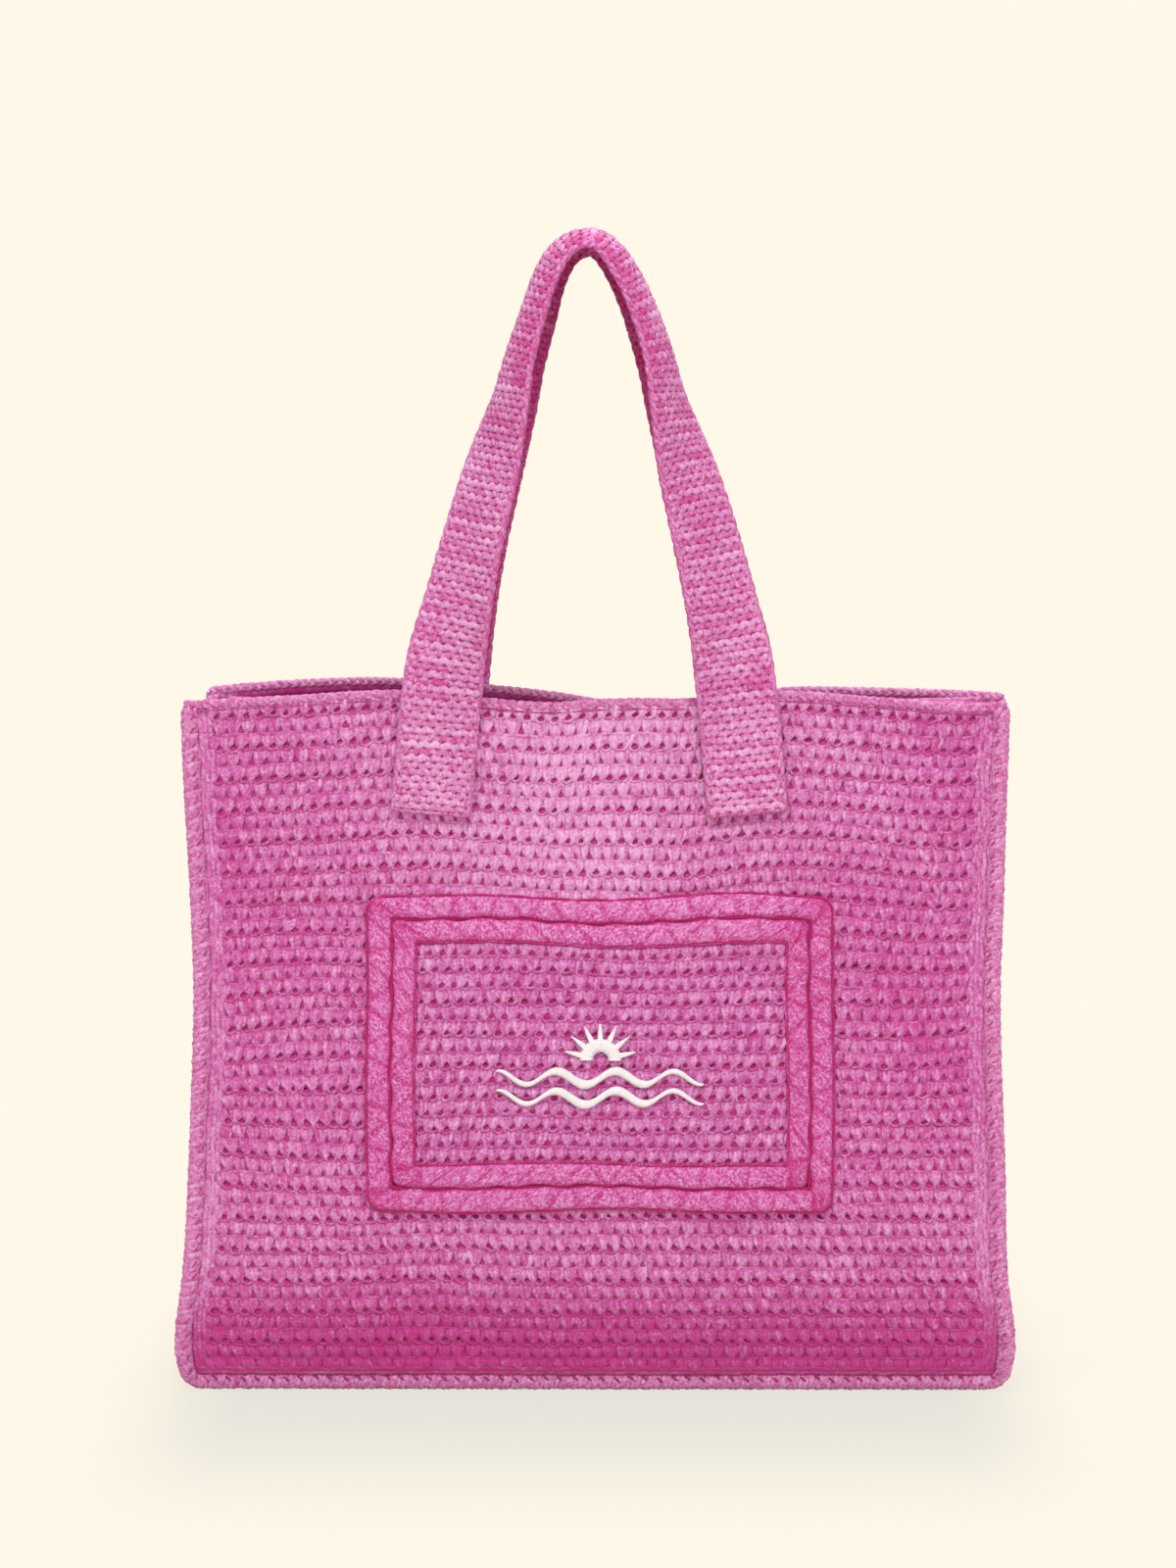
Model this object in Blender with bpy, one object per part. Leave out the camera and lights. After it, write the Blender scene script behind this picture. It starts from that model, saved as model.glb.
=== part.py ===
"""Crocheted beach tote with two carrying handles and a framed patch on its front.

Five crocheted panels (front, rear, two side gussets and a base) meet in raised
whip-stitched seams. The mouth has a binding row all round, and each handle is a
wide strap that is sewn down below the rim and folds outward there.

Metres, +Z up. The origin is on the floor under the middle of the bag, the front
faces -Y and +X is to the right when the front is looked at.
"""

import math

import bmesh
import bpy
from mathutils import Vector

# ---- driving dimensions ---------------------------------------------------------------

BODY_HEIGHT = 0.3540            # rim of the front panel at its corners
# x -> height of each rim above that; the handles pull the rims up
FRONT_RIM = (
    (-0.215, 0.0000),
    (-0.160, 0.0030),
    (-0.105, 0.0060),
    (-0.080, 0.0048),
    (-0.056, 0.0020),
    (-0.024, -0.0004),
    (-0.003, 0.0010),
    (0.020, 0.0018),
    (0.050, 0.0018),
    (0.094, 0.0058),
    (0.150, 0.0020),
    (0.190, -0.0008),
    (0.215, 0.0006),
)
REAR_RIM = (
    (-0.215, 0.0040),
    (-0.195, 0.0064),
    (-0.158, 0.0088),
    (-0.117, 0.0096),
    (-0.080, 0.0070),
    (-0.045, 0.0042),
    (-0.020, 0.0010),
    (0.000, -0.0022),
    (0.030, -0.0028),
    (0.050, -0.0020),
    (0.075, 0.0016),
    (0.100, 0.0048),
    (0.150, 0.0042),
    (0.200, 0.0024),
    (0.215, 0.0010),
)
REAR_LEAN = 0.0055              # the rear panel's rim stands this far to the right
REAR_NARROWING = 0.018          # and is this share narrower

CLOTH = 0.0024                  # thickness of every crocheted panel
GAP = 0.0003                    # clearance between pieces that touch
SEAM_RADIUS = 0.0046            # whip-stitched ridges
BINDING_RADIUS = 0.0022         # binding row round the mouth
JOIN_RADIUS = 0.0011            # flat joins between base and gussets
CORNER_RADIUS = 0.0126          # lower corners, over the seam
SEAM_TURN = 0.003               # straight stretch past a corner, before the bottom seam

# height -> half depth at the middle of a panel, and height -> half width over the seams
DEPTH_PROFILE = (
    (0.000, 0.0465),
    (0.018, 0.0560),
    (0.055, 0.0630),
    (0.150, 0.0570),
    (0.260, 0.0390),
    (0.362, 0.0250),
)
WIDTH_PROFILE = (
    (0.000, 0.2150),
    (0.028, 0.2150),
    (0.080, 0.2108),
    (0.150, 0.2080),
    (0.205, 0.2070),
    (0.260, 0.2094),
    (0.320, 0.2130),
    (0.362, 0.2142),
)
BULGE = 0.006                   # the middle of a panel stands proud of its side seams

FOLD_START = 0.070              # height where the gussets start to fold inward
FOLD_DEPTH = 0.050              # how far in they reach at the rim
FOLD_SOFTNESS = 0.12            # rounding of the fold line

HANDLE_X = -0.003               # middle of the front handle
REAR_HANDLE_SHIFT = 0.0015      # the rear handle's feet are this far to its right
STRAP_WIDTH = 0.040
STRAP_THICKNESS = 0.0036
TAB_FOOT = 0.2965               # lower end of the sewn part of a strap
HINGE_HEIGHT = 0.342            # the free loop starts here
TAB_OFFSET_FOOT = 0.0036        # middle of the strap in front of the middle of the panel
TAB_OFFSET_HINGE = 0.0045
TAB_FOOT_X = 0.0815             # middle of a strap from the middle of the handle, at its foot
APEX_Y = 0.0190                 # distance of each loop's top from the middle plane
# the strap turns edge-on toward the top of the loop: share of a leg's length, and degrees
LEFT_TWIST = (
    (0.00, 0.0),
    (0.04, 1.5),
    (0.09, 8.0),
    (0.17, 23.0),
    (0.25, 34.0),
    (0.34, 42.0),
    (0.42, 47.0),
    (0.53, 59.0),
    (0.61, 67.0),
    (0.70, 74.0),
    (0.80, 79.0),
    (1.00, 82.0),
)
RIGHT_TWIST = (
    (0.00, 0.0),
    (0.04, 1.5),
    (0.09, 9.0),
    (0.17, 23.0),
    (0.25, 31.0),
    (0.34, 37.0),
    (0.42, 44.0),
    (0.53, 60.0),
    (0.61, 68.0),
    (0.70, 74.0),
    (0.80, 79.0),
    (1.00, 82.0),
)
CURL = math.radians(42.0)       # and its edges curl under
CURL_SPAN = (0.25, 0.85)
# half of a loop's middle line: distance from the handle's middle, and height
LOOP_PATH = (
    (0.0775, HINGE_HEIGHT),
    (0.0735, 0.376),
    (0.0680, 0.4035),
    (0.0600, 0.438),
    (0.0500, 0.477),
    (0.0428, 0.506),
    (0.0370, 0.533),
    (0.0262, 0.5625),
    (0.0130, 0.5845),
    (0.0000, 0.5915),
)
REAR_LOOP_DROP = 0.0035         # the rear loop stands a little lower, and narrower near its top
REAR_LOOP_NARROWING = 0.13
NARROWING_SPAN = (0.50, 0.85)   # shares of its height over which it narrows

STITCH_RADIUS = 0.0007          # thread that sews the straps down
STITCH_INSET = 0.0030           # from the strap's edges
STITCH_TOP = 0.330

PATCH_X = 0.0028                # middle of the framed patch
PATCH_Z = 0.1746
OUTER_TAPE_SIZE = (0.2385, 0.1590)
TAPE_WIDTH = 0.0116
TAPE_THICKNESS = 0.0028
TAPE_CORNER = 0.0075
SMALLEST_CORNER = 0.0015        # inside edge of a tape
PATCH_THICKNESS = 0.0012
PATCH_CLEARANCE = 0.0008        # between the patch and the tape round it

MOTIF_Z = 0.1718                # horizon of the sun
MOTIF_THICKNESS = 0.0010
SUN_RADIUS = 0.0105
SUN_HOLLOW = 0.4                # share of the sun's radius left open at its middle
RAY_RADIUS = 0.0190
RAYS = 7
UPPER_WAVE_DROP = 0.0090        # each wave's middle below the horizon
LOWER_WAVE_DROP = 0.0190
WAVE_LENGTH = 0.030
WAVE_SPAN = 0.105
WAVE_HEIGHT = 0.0034
WAVE_BAND = 0.0042

BODY_PINK = (0.66, 0.17, 0.39)
STRAP_PINK = (0.70, 0.22, 0.46)
TAPE_PINK = (0.72, 0.13, 0.38)
PATCH_PINK = (0.62, 0.16, 0.38)
WHITE = (0.90, 0.88, 0.88)


# ---- small helpers --------------------------------------------------------------------


def smooth_step(low, high, value):
    t = min(1.0, max(0.0, (value - low) / (high - low)))
    return t * t * (3.0 - 2.0 * t)


def through_points(points, t):
    """Catmull-Rom curve through points, at t from 0 to 1; the tangents end along the chords."""
    spans = len(points) - 1
    at = min(spans - 1e-9, max(0.0, t * spans))
    i = int(at)
    s = at - i
    p1, p2 = Vector(points[i]), Vector(points[i + 1])
    p0 = Vector(points[i - 1]) if i > 0 else p1 * 2.0 - p2
    p3 = Vector(points[i + 2]) if i + 2 <= spans else p2 * 2.0 - p1
    return 0.5 * (
        2.0 * p1
        + (p2 - p0) * s
        + (2.0 * p0 - 5.0 * p1 + 4.0 * p2 - p3) * s * s
        + (3.0 * p1 - 3.0 * p2 + p3 - p0) * s * s * s
    )


def profile_value(profile, position):
    """Value of a (position, value) profile, with smooth cubic joins."""
    i = 0
    while i < len(profile) - 2 and position > profile[i + 1][0]:
        i += 1
    (a, fa), (b, fb) = profile[i], profile[i + 1]

    def slope(k):
        k0, k1 = max(0, k - 1), min(len(profile) - 1, k + 1)
        return (profile[k1][1] - profile[k0][1]) / (profile[k1][0] - profile[k0][0])

    h = b - a
    s = (position - a) / h
    m0, m1 = slope(i) * h, slope(i + 1) * h
    return (
        (2 * s**3 - 3 * s**2 + 1) * fa
        + (s**3 - 2 * s**2 + s) * m0
        + (3 * s**2 - 2 * s**3) * fb
        + (s**3 - s**2) * m1
    )


def new_material(name, colour, roughness=0.85):
    material = bpy.data.materials.new(name)
    material.use_nodes = True
    shader = material.node_tree.nodes["Principled BSDF"]
    shader.inputs["Base Color"].default_value = (*colour, 1.0)
    shader.inputs["Roughness"].default_value = roughness
    shader.inputs["Metallic"].default_value = 0.0
    return material


def add_object(name, vertices, faces, colour, origin=(0.0, 0.0, 0.0), smooth=True):
    """A mesh object of its own material, its vertices given in the part's frame."""
    middle = Vector(origin)
    skin = bmesh.new()
    corners = [skin.verts.new(Vector(v) - middle) for v in vertices]
    for face in faces:
        skin.faces.new([corners[k] for k in face])
    bmesh.ops.recalc_face_normals(skin, faces=skin.faces)
    mesh = bpy.data.meshes.new(name)
    skin.to_mesh(mesh)
    skin.free()
    mesh.materials.append(new_material(name, colour))
    if smooth:
        mesh.shade_smooth()
        mesh.set_sharp_from_angle(angle=math.radians(40.0))
    made = bpy.data.objects.new(name, mesh)
    made.location = middle
    bpy.context.scene.collection.objects.link(made)
    return made


# ---- closed solids from surfaces and paths ----------------------------------------------


def sheet_solid(name, surface, columns, rows, thickness, colour):
    """A slab of even thickness about surface(u, v), whose u x v direction is outward."""
    step = 1e-4

    def normal(u, v):
        along_u = surface(min(1.0, u + step), v) - surface(max(0.0, u - step), v)
        along_v = surface(u, min(1.0, v + step)) - surface(u, max(0.0, v - step))
        return along_u.cross(along_v).normalized()

    vertices = []
    for side in (0.5, -0.5):
        for row in range(rows + 1):
            for column in range(columns + 1):
                u, v = column / columns, row / rows
                vertices.append(surface(u, v) + normal(u, v) * (side * thickness))
    layer = (columns + 1) * (rows + 1)

    def at(column, row):
        return row * (columns + 1) + column

    faces = []
    for row in range(rows):
        for column in range(columns):
            quad = (at(column, row), at(column + 1, row), at(column + 1, row + 1), at(column, row + 1))
            faces.append(quad)
            faces.append(tuple(layer + k for k in reversed(quad)))
    border = [at(c, 0) for c in range(columns)]
    border += [at(columns, r) for r in range(rows)]
    border += [at(c, rows) for c in range(columns, 0, -1)]
    border += [at(0, r) for r in range(rows, 0, -1)]
    for here, there in zip(border, border[1:] + border[:1]):
        faces.append((there, here, layer + here, layer + there))
    return add_object(name, vertices, faces, colour)


def swept_solid(name, rings, colour, closed=False, origin=(0.0, 0.0, 0.0)):
    """A solid whose skin runs through rings of points; its ends are capped unless it is closed."""
    sides = len(rings[0])
    vertices = [point for ring in rings for point in ring]
    faces = []
    spans = len(rings) if closed else len(rings) - 1
    for k in range(spans):
        a, b = k * sides, ((k + 1) % len(rings)) * sides
        for j in range(sides):
            n = (j + 1) % sides
            faces.append((a + j, a + n, b + n, b + j))
    if not closed:
        last = (len(rings) - 1) * sides
        faces.append(tuple(reversed(range(sides))))
        faces.append(tuple(range(last, last + sides)))
    return add_object(name, vertices, faces, colour, origin)


def tube(name, points, radius, colour, sides=8):
    """A round cord along points, with flat ends."""
    rings = []
    reference = Vector((0.0, 0.0, 1.0))
    first = (points[1] - points[0]).normalized()
    if abs(first.z) > 0.7:
        reference = Vector((0.0, 1.0, 0.0))
    across = first.cross(reference).normalized()
    for k, point in enumerate(points):
        before, after = points[max(0, k - 1)], points[min(len(points) - 1, k + 1)]
        along = (after - before).normalized()
        across = (across - along * across.dot(along)).normalized()
        up = along.cross(across)
        ring = []
        for j in range(sides):
            angle = 2.0 * math.pi * (j + 0.5) / sides
            ring.append(point + (across * math.cos(angle) + up * math.sin(angle)) * radius)
        rings.append(ring)
    return swept_solid(name, rings, colour)


# ---- the shape of the bag ---------------------------------------------------------------


def seam_half_width(z):
    """Distance of a side seam's middle from the bag's middle."""
    return profile_value(WIDTH_PROFILE, z) - SEAM_RADIUS


def middle_depth(z):
    return profile_value(DEPTH_PROFILE, z)


def half_depth(x, z):
    """Distance of a panel's middle surface from the bag's middle plane."""
    share = min(1.0, abs(x) / seam_half_width(z))
    return middle_depth(z) - BULGE * share**2 * math.sin(math.pi * min(1.0, z / BODY_HEIGHT))


def seam_depth(z):
    return half_depth(seam_half_width(z), z)


def rim_height(x, side):
    """Top of the front (side -1) or rear (side 1) panel's binding."""
    return BODY_HEIGHT + profile_value(REAR_RIM if side > 0 else FRONT_RIM, x)


def leaned(x, z, share):
    """x moved with the rear panel, by a share that is 0 at the front panel and 1 at the rear."""
    rise = (z / BODY_HEIGHT) ** 2
    return x + share * rise * (REAR_LEAN - REAR_NARROWING * x)


def rear_share(side):
    return 1.0 if side > 0 else 0.0


def fold_reach(z):
    """How far a gusset's middle is folded in at a height."""
    t = min(1.0, max(0.0, (z - FOLD_START) / (BODY_HEIGHT - FOLD_START)))
    return FOLD_DEPTH * math.sin(0.5 * math.pi * t)


def fold_share(y, depth):
    """Share of the fold's reach at y: 0 at the seams and 1 at the fold line."""
    soft = FOLD_SOFTNESS
    edge = math.sqrt(1.0 + soft * soft)
    return (edge - math.sqrt((y / depth) ** 2 + soft * soft)) / (edge - soft)


def on_panel(x, z, offset, side):
    """A point at x and z, offset outward from the front (side -1) or rear (side 1) panel."""
    step = 0.001
    slope_x = (half_depth(x + step, z) - half_depth(x - step, z)) / (2.0 * step)
    slope_z = (half_depth(x, z + step) - half_depth(x, z - step)) / (2.0 * step)
    outward = Vector((-slope_x, side, -slope_z)).normalized()
    return Vector((x, side * half_depth(x, z), z)) + outward * offset


def add_panel(name, side):
    """Front or rear panel, inside its seams and under its rim binding."""
    foot = 2.0 * SEAM_RADIUS + GAP
    inner_corner = CORNER_RADIUS - 2.0 * SEAM_RADIUS

    def surface(u, v):
        across = 1.0 - 2.0 * u if side > 0 else 2.0 * u - 1.0
        top = rim_height(across * seam_half_width(BODY_HEIGHT), side) - 2.0 * BINDING_RADIUS - 2.0 * GAP
        z = foot + (top - foot) * v
        half = seam_half_width(z) - SEAM_RADIUS - GAP
        lift = min(inner_corner, z - foot)
        half -= inner_corner - math.sqrt(inner_corner**2 - (inner_corner - lift) ** 2)
        x = across * half
        return Vector((leaned(x, z, rear_share(side)), side * half_depth(x, z), z))

    sheet_solid(name, surface, columns=20, rows=14, thickness=CLOTH, colour=BODY_PINK)


def gusset_path(t):
    """Height and distance from the middle of a gusset, from its foot (0) to the rim (1)."""
    low = CLOTH / 2.0
    arc = CORNER_RADIUS - low
    arc_share = 0.12
    if t < arc_share:
        angle = 0.5 * math.pi * t / arc_share
        side = seam_half_width(CORNER_RADIUS)
        return low + arc * (1.0 - math.cos(angle)), side - arc * (1.0 - math.sin(angle))
    top = BODY_HEIGHT - 2.0 * BINDING_RADIUS - 2.0 * GAP
    z = CORNER_RADIUS + (top - CORNER_RADIUS) * (t - arc_share) / (1.0 - arc_share)
    return z, seam_half_width(z)


def gusset_point(hand, y_share, z, side, margin):
    """A point across a gusset; y_share runs from -1 to 1 between the seams."""
    depth = seam_depth(z)
    y = y_share * (depth - margin)
    inward = fold_reach(z) * fold_share(y, depth)
    x = hand * (side - inward)
    return Vector((leaned(x, z, (y_share + 1.0) / 2.0), y, z))


def add_gusset(name, hand):
    margin = SEAM_RADIUS + 2.0 * GAP

    def surface(u, v):
        z, side = gusset_path(v)
        across = 2.0 * u - 1.0 if hand > 0 else 1.0 - 2.0 * u
        return gusset_point(hand, across, z, side, margin)

    sheet_solid(name, surface, columns=10, rows=16, thickness=CLOTH, colour=BODY_PINK)


def add_base(name):
    """The flat base, lying on the floor between the two gussets' feet."""
    half_length = gusset_path(0.0)[1] - 2.0 * (JOIN_RADIUS + GAP)
    half_width = seam_depth(0.0) - SEAM_RADIUS - GAP
    vertices = []
    for z in (0.0, CLOTH):
        for x, y in ((-1, -1), (1, -1), (1, 1), (-1, 1)):
            vertices.append((x * half_length, y * half_width, z))
    faces = [(3, 2, 1, 0), (4, 5, 6, 7), (0, 1, 5, 4), (1, 2, 6, 5), (2, 3, 7, 6), (3, 0, 4, 7)]
    add_object(name, vertices, faces, BODY_PINK, smooth=False)


def add_base_joins():
    """The flat rows that join the base to the gussets' feet."""
    at = gusset_path(0.0)[1] - JOIN_RADIUS - GAP
    reach = seam_depth(0.0) - SEAM_RADIUS - 2.0 * GAP
    for name, hand in (("left_base_join", -1), ("right_base_join", 1)):
        ends = [Vector((hand * at, y, CLOTH / 2.0)) for y in (-reach, 0.0, reach)]
        tube(name, ends, JOIN_RADIUS, BODY_PINK, sides=8)


def add_seams(word, side):
    """One panel's raised seam: two side seams, each round its lower corner, and a bottom seam."""
    corner = CORNER_RADIUS - SEAM_RADIUS
    rear = rear_share(side)
    for hand, hand_word in ((-1, "left"), (1, "right")):
        top = rim_height(hand * seam_half_width(BODY_HEIGHT), side) - 2.0 * BINDING_RADIUS - 2.0 * GAP
        points = []
        for k in range(14):
            z = top + (CORNER_RADIUS - top) * k / 13
            x = leaned(hand * seam_half_width(z), z, rear)
            points.append(Vector((x, side * seam_depth(z), z)))
        for k in range(1, 6):
            angle = 0.5 * math.pi * k / 5
            z = CORNER_RADIUS - corner * math.sin(angle)
            x = seam_half_width(CORNER_RADIUS) - corner * (1.0 - math.cos(angle))
            points.append(Vector((hand * x, side * seam_depth(z), z)))
        points.append(points[-1] - Vector((hand * SEAM_TURN, 0.0, 0.0)))
        tube(f"{word}_{hand_word}_seam", points, SEAM_RADIUS, BODY_PINK)
    reach = seam_half_width(CORNER_RADIUS) - corner - SEAM_TURN - GAP
    points = []
    for k in range(9):
        x = reach * (2.0 * k / 8 - 1.0)
        points.append(Vector((x, side * half_depth(x, SEAM_RADIUS), SEAM_RADIUS)))
    tube(f"{word}_bottom_seam", points, SEAM_RADIUS, BODY_PINK)


def add_rim_bindings():
    """The binding row round the mouth: one length on each panel and one on each gusset."""
    reach = seam_half_width(BODY_HEIGHT) + BINDING_RADIUS
    for name, side in (("front_rim_binding", -1), ("rear_rim_binding", 1)):
        points = []
        for k in range(21):
            x = reach * (2.0 * k / 20 - 1.0)
            z = rim_height(x, side) - BINDING_RADIUS
            points.append(Vector((leaned(x, z, rear_share(side)), side * half_depth(x, z), z)))
        tube(name, points, BINDING_RADIUS, BODY_PINK)
    z = BODY_HEIGHT - BINDING_RADIUS
    margin = 2.0 * BINDING_RADIUS + 2.0 * GAP
    for name, hand in (("left_rim_binding", -1), ("right_rim_binding", 1)):
        points = []
        for k in range(13):
            points.append(gusset_point(hand, k / 6 - 1.0, z, seam_half_width(z), margin))
        tube(name, points, BINDING_RADIUS, BODY_PINK)


# ---- the handles ------------------------------------------------------------------------


def handle_x(side):
    """Middle of a handle at its feet."""
    return HANDLE_X + REAR_HANDLE_SHIFT * rear_share(side)


def tab_offset(z):
    t = (z - TAB_FOOT) / (HINGE_HEIGHT - TAB_FOOT)
    return TAB_OFFSET_FOOT + (TAB_OFFSET_HINGE - TAB_OFFSET_FOOT) * t


def tab_middle(z):
    """Distance of a sewn strap's middle line from the middle of its handle."""
    t = (z - TAB_FOOT) / (HINGE_HEIGHT - TAB_FOOT)
    return TAB_FOOT_X + (LOOP_PATH[0][0] - TAB_FOOT_X) * t


def add_tab(name, side, hand):
    """The end of a strap that is sewn flat onto its panel."""

    def surface(u, v):
        z = TAB_FOOT + (HINGE_HEIGHT - GAP - TAB_FOOT) * v
        across = u - 0.5 if side < 0 else 0.5 - u
        x = handle_x(side) + hand * tab_middle(z) + across * STRAP_WIDTH
        return Vector((x, side * (half_depth(x, z) + tab_offset(z)), z))

    sheet_solid(name, surface, columns=4, rows=5, thickness=STRAP_THICKNESS, colour=STRAP_PINK)


def add_tab_stitching(name, side, hand):
    """The thread round a strap's sewn end: down one edge, across its foot and up the other."""
    half = STRAP_WIDTH / 2.0 - STITCH_INSET
    foot = TAB_FOOT + STITCH_INSET
    corners = ((-half, STITCH_TOP), (-half, foot), (half, foot), (half, STITCH_TOP))
    points = []
    for (x0, z0), (x1, z1) in zip(corners, corners[1:]):
        steps = 4
        for k in range(steps if (x1, z1) != corners[-1] else steps + 1):
            across = x0 + (x1 - x0) * k / steps
            z = z0 + (z1 - z0) * k / steps
            x = handle_x(side) + hand * tab_middle(z) + across
            offset = tab_offset(z) + STRAP_THICKNESS / 2.0 + STITCH_RADIUS + GAP
            points.append(on_panel(x, z, offset, side))
    tube(name, points, STITCH_RADIUS, STRAP_PINK, sides=6)


def hinge_y():
    """Distance from the middle plane of the line that a loop folds about."""
    return middle_depth(HINGE_HEIGHT) + TAB_OFFSET_HINGE + STRAP_THICKNESS / 2.0 + GAP


def loop_middle(t, side):
    """Middle line of a loop, from its left foot (0) over the top (0.5) to its right foot (1)."""
    left = [(-across, z) for across, z in LOOP_PATH]
    right = [(across, z) for across, z in reversed(LOOP_PATH[:-1])]
    across, z = through_points(left + right, t)
    rise = (z - HINGE_HEIGHT) / (LOOP_PATH[-1][1] - HINGE_HEIGHT)
    if side > 0:
        across *= 1.0 - REAR_LOOP_NARROWING * smooth_step(*NARROWING_SPAN, rise)
        z -= REAR_LOOP_DROP * rise
    foot_y = hinge_y() - GAP - STRAP_THICKNESS / 2.0
    y = foot_y + (APEX_Y - foot_y) * smooth_step(0.0, 1.0, rise)
    x = handle_x(side) + (HANDLE_X - handle_x(side)) * rise
    return Vector((x + across, side * y, z))


def loop_rings(side):
    """Sections of a loop: a flat strap at its feet, turned edge-on and curled at the top."""
    stations, points_across = 44, 6
    front = Vector((0.0, side, 0.0))
    rings = []
    for k in range(stations + 1):
        t = k / stations
        middle = loop_middle(t, side)
        along = (loop_middle(min(1.0, t + 0.004), side) - loop_middle(max(0.0, t - 0.004), side)).normalized()
        outward = Vector((-along.z, 0.0, along.x)).normalized()
        rise = 1.0 - abs(2.0 * t - 1.0)
        turn = math.radians(profile_value(LEFT_TWIST if t < 0.5 else RIGHT_TWIST, rise))
        curl = max(0.01, CURL * smooth_step(*CURL_SPAN, rise))
        face = front * math.cos(turn) + outward * math.sin(turn)
        face = (face - along * face.dot(along)).normalized()
        across = along.cross(face)
        bend = STRAP_WIDTH / 2.0 / curl
        crown = bend * (1.0 - math.cos(curl)) / 2.0
        ring = []
        for layer in (0.5, -0.5):
            order = range(points_across) if layer > 0 else reversed(range(points_across))
            for j in order:
                angle = curl * (2.0 * j / (points_across - 1) - 1.0)
                radius = bend + layer * STRAP_THICKNESS
                height = radius * math.cos(angle) - bend + crown
                ring.append(middle + across * (radius * math.sin(angle)) + face * height)
        rings.append(ring)
    return rings


def lift_feet(rings):
    """Ends a loop's feet level, a gap above its hinge line."""
    for ring in (rings[0], rings[-1]):
        for point in ring:
            point.z = HINGE_HEIGHT + GAP
    return rings


def add_handle(word, side):
    """A free loop on its hinge line, its two sewn ends and their stitching."""
    pivot = bpy.data.objects.new(f"{word}_handle_pivot", None)
    pivot.location = (handle_x(side), side * hinge_y(), HINGE_HEIGHT)
    bpy.context.scene.collection.objects.link(pivot)
    loop = swept_solid(f"{word}_handle", lift_feet(loop_rings(side)), STRAP_PINK, origin=pivot.location)
    loop.location = (0.0, 0.0, 0.0)
    loop.parent = pivot
    for hand, hand_word in ((-1, "left"), (1, "right")):
        add_tab(f"{word}_handle_{hand_word}_end", side, hand)
        add_tab_stitching(f"{word}_handle_{hand_word}_stitching", side, hand)


# ---- the framed patch -------------------------------------------------------------------


def rounded_rectangle(width, height, radius):
    """Points round a rectangle with rounded corners, counter-clockwise from its lower right."""
    steps_long, steps_short, steps_corner = 12, 8, 3
    half_w, half_h = width / 2.0 - radius, height / 2.0 - radius
    sides = (
        (half_w, -half_h, half_h, steps_short),
        (half_w, half_h, half_w, steps_long),
        (-half_w, half_h, half_h, steps_short),
        (-half_w, -half_h, half_w, steps_long),
    )
    points = []
    for k, (x, z, reach, steps) in enumerate(sides):
        turned = 0.5 * math.pi * k
        outward = Vector((math.cos(turned), math.sin(turned)))
        along = Vector((-outward.y, outward.x))
        centre = Vector((x, z))
        for j in range(steps):
            points.append(centre + outward * radius + along * (2.0 * reach * j / steps))
        centre = centre + along * (2.0 * reach)
        for j in range(steps_corner):
            angle = turned + 0.5 * math.pi * j / steps_corner
            points.append(centre + Vector((math.cos(angle), math.sin(angle))) * radius)
    return points


def add_tape(name, width, height, corner):
    """A flat tape laid round a rectangle on the front panel."""
    outer = rounded_rectangle(width, height, corner)
    inner_corner = max(SMALLEST_CORNER, corner - TAPE_WIDTH)
    inner = rounded_rectangle(width - 2.0 * TAPE_WIDTH, height - 2.0 * TAPE_WIDTH, inner_corner)
    low = CLOTH / 2.0 + GAP
    rings = []
    for edge, within in zip(outer, inner):
        ring = []
        for point, offset in (
            (edge, low),
            (within, low),
            (within, low + TAPE_THICKNESS),
            (edge, low + TAPE_THICKNESS),
        ):
            ring.append(on_panel(PATCH_X + point.x, PATCH_Z + point.y, offset, -1))
        rings.append(ring)
    swept_solid(name, rings, TAPE_PINK, closed=True)


def add_patch():
    """The patch panel inside two concentric tapes."""
    width, height = OUTER_TAPE_SIZE
    add_tape("patch_outer_tape", width, height, TAPE_CORNER)
    step = 2.0 * (TAPE_WIDTH + GAP)
    width, height = width - step, height - step
    add_tape("patch_inner_tape", width, height, TAPE_CORNER / 2.0)
    step = 2.0 * (TAPE_WIDTH + PATCH_CLEARANCE)
    width, height = width - step, height - step

    def surface(u, v):
        x = PATCH_X + (u - 0.5) * width
        z = PATCH_Z + (v - 0.5) * height
        return on_panel(x, z, CLOTH / 2.0 + GAP + PATCH_THICKNESS / 2.0, -1)

    sheet_solid("patch_panel", surface, columns=12, rows=8, thickness=PATCH_THICKNESS, colour=PATCH_PINK)


def motif_offset():
    return CLOTH / 2.0 + 2.0 * GAP + PATCH_THICKNESS


def add_motif_piece(name, inner, outer):
    """A flat embroidered piece between two outlines of as many points, given about the motif's middle."""
    low = motif_offset()
    rings = []
    for a, b in zip(inner, outer):
        ring = []
        for point, offset in ((a, low), (b, low), (b, low + MOTIF_THICKNESS), (a, low + MOTIF_THICKNESS)):
            ring.append(on_panel(PATCH_X + point[0], MOTIF_Z + point[1], offset, -1))
        rings.append(ring)
    swept_solid(name, rings, WHITE)


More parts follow.
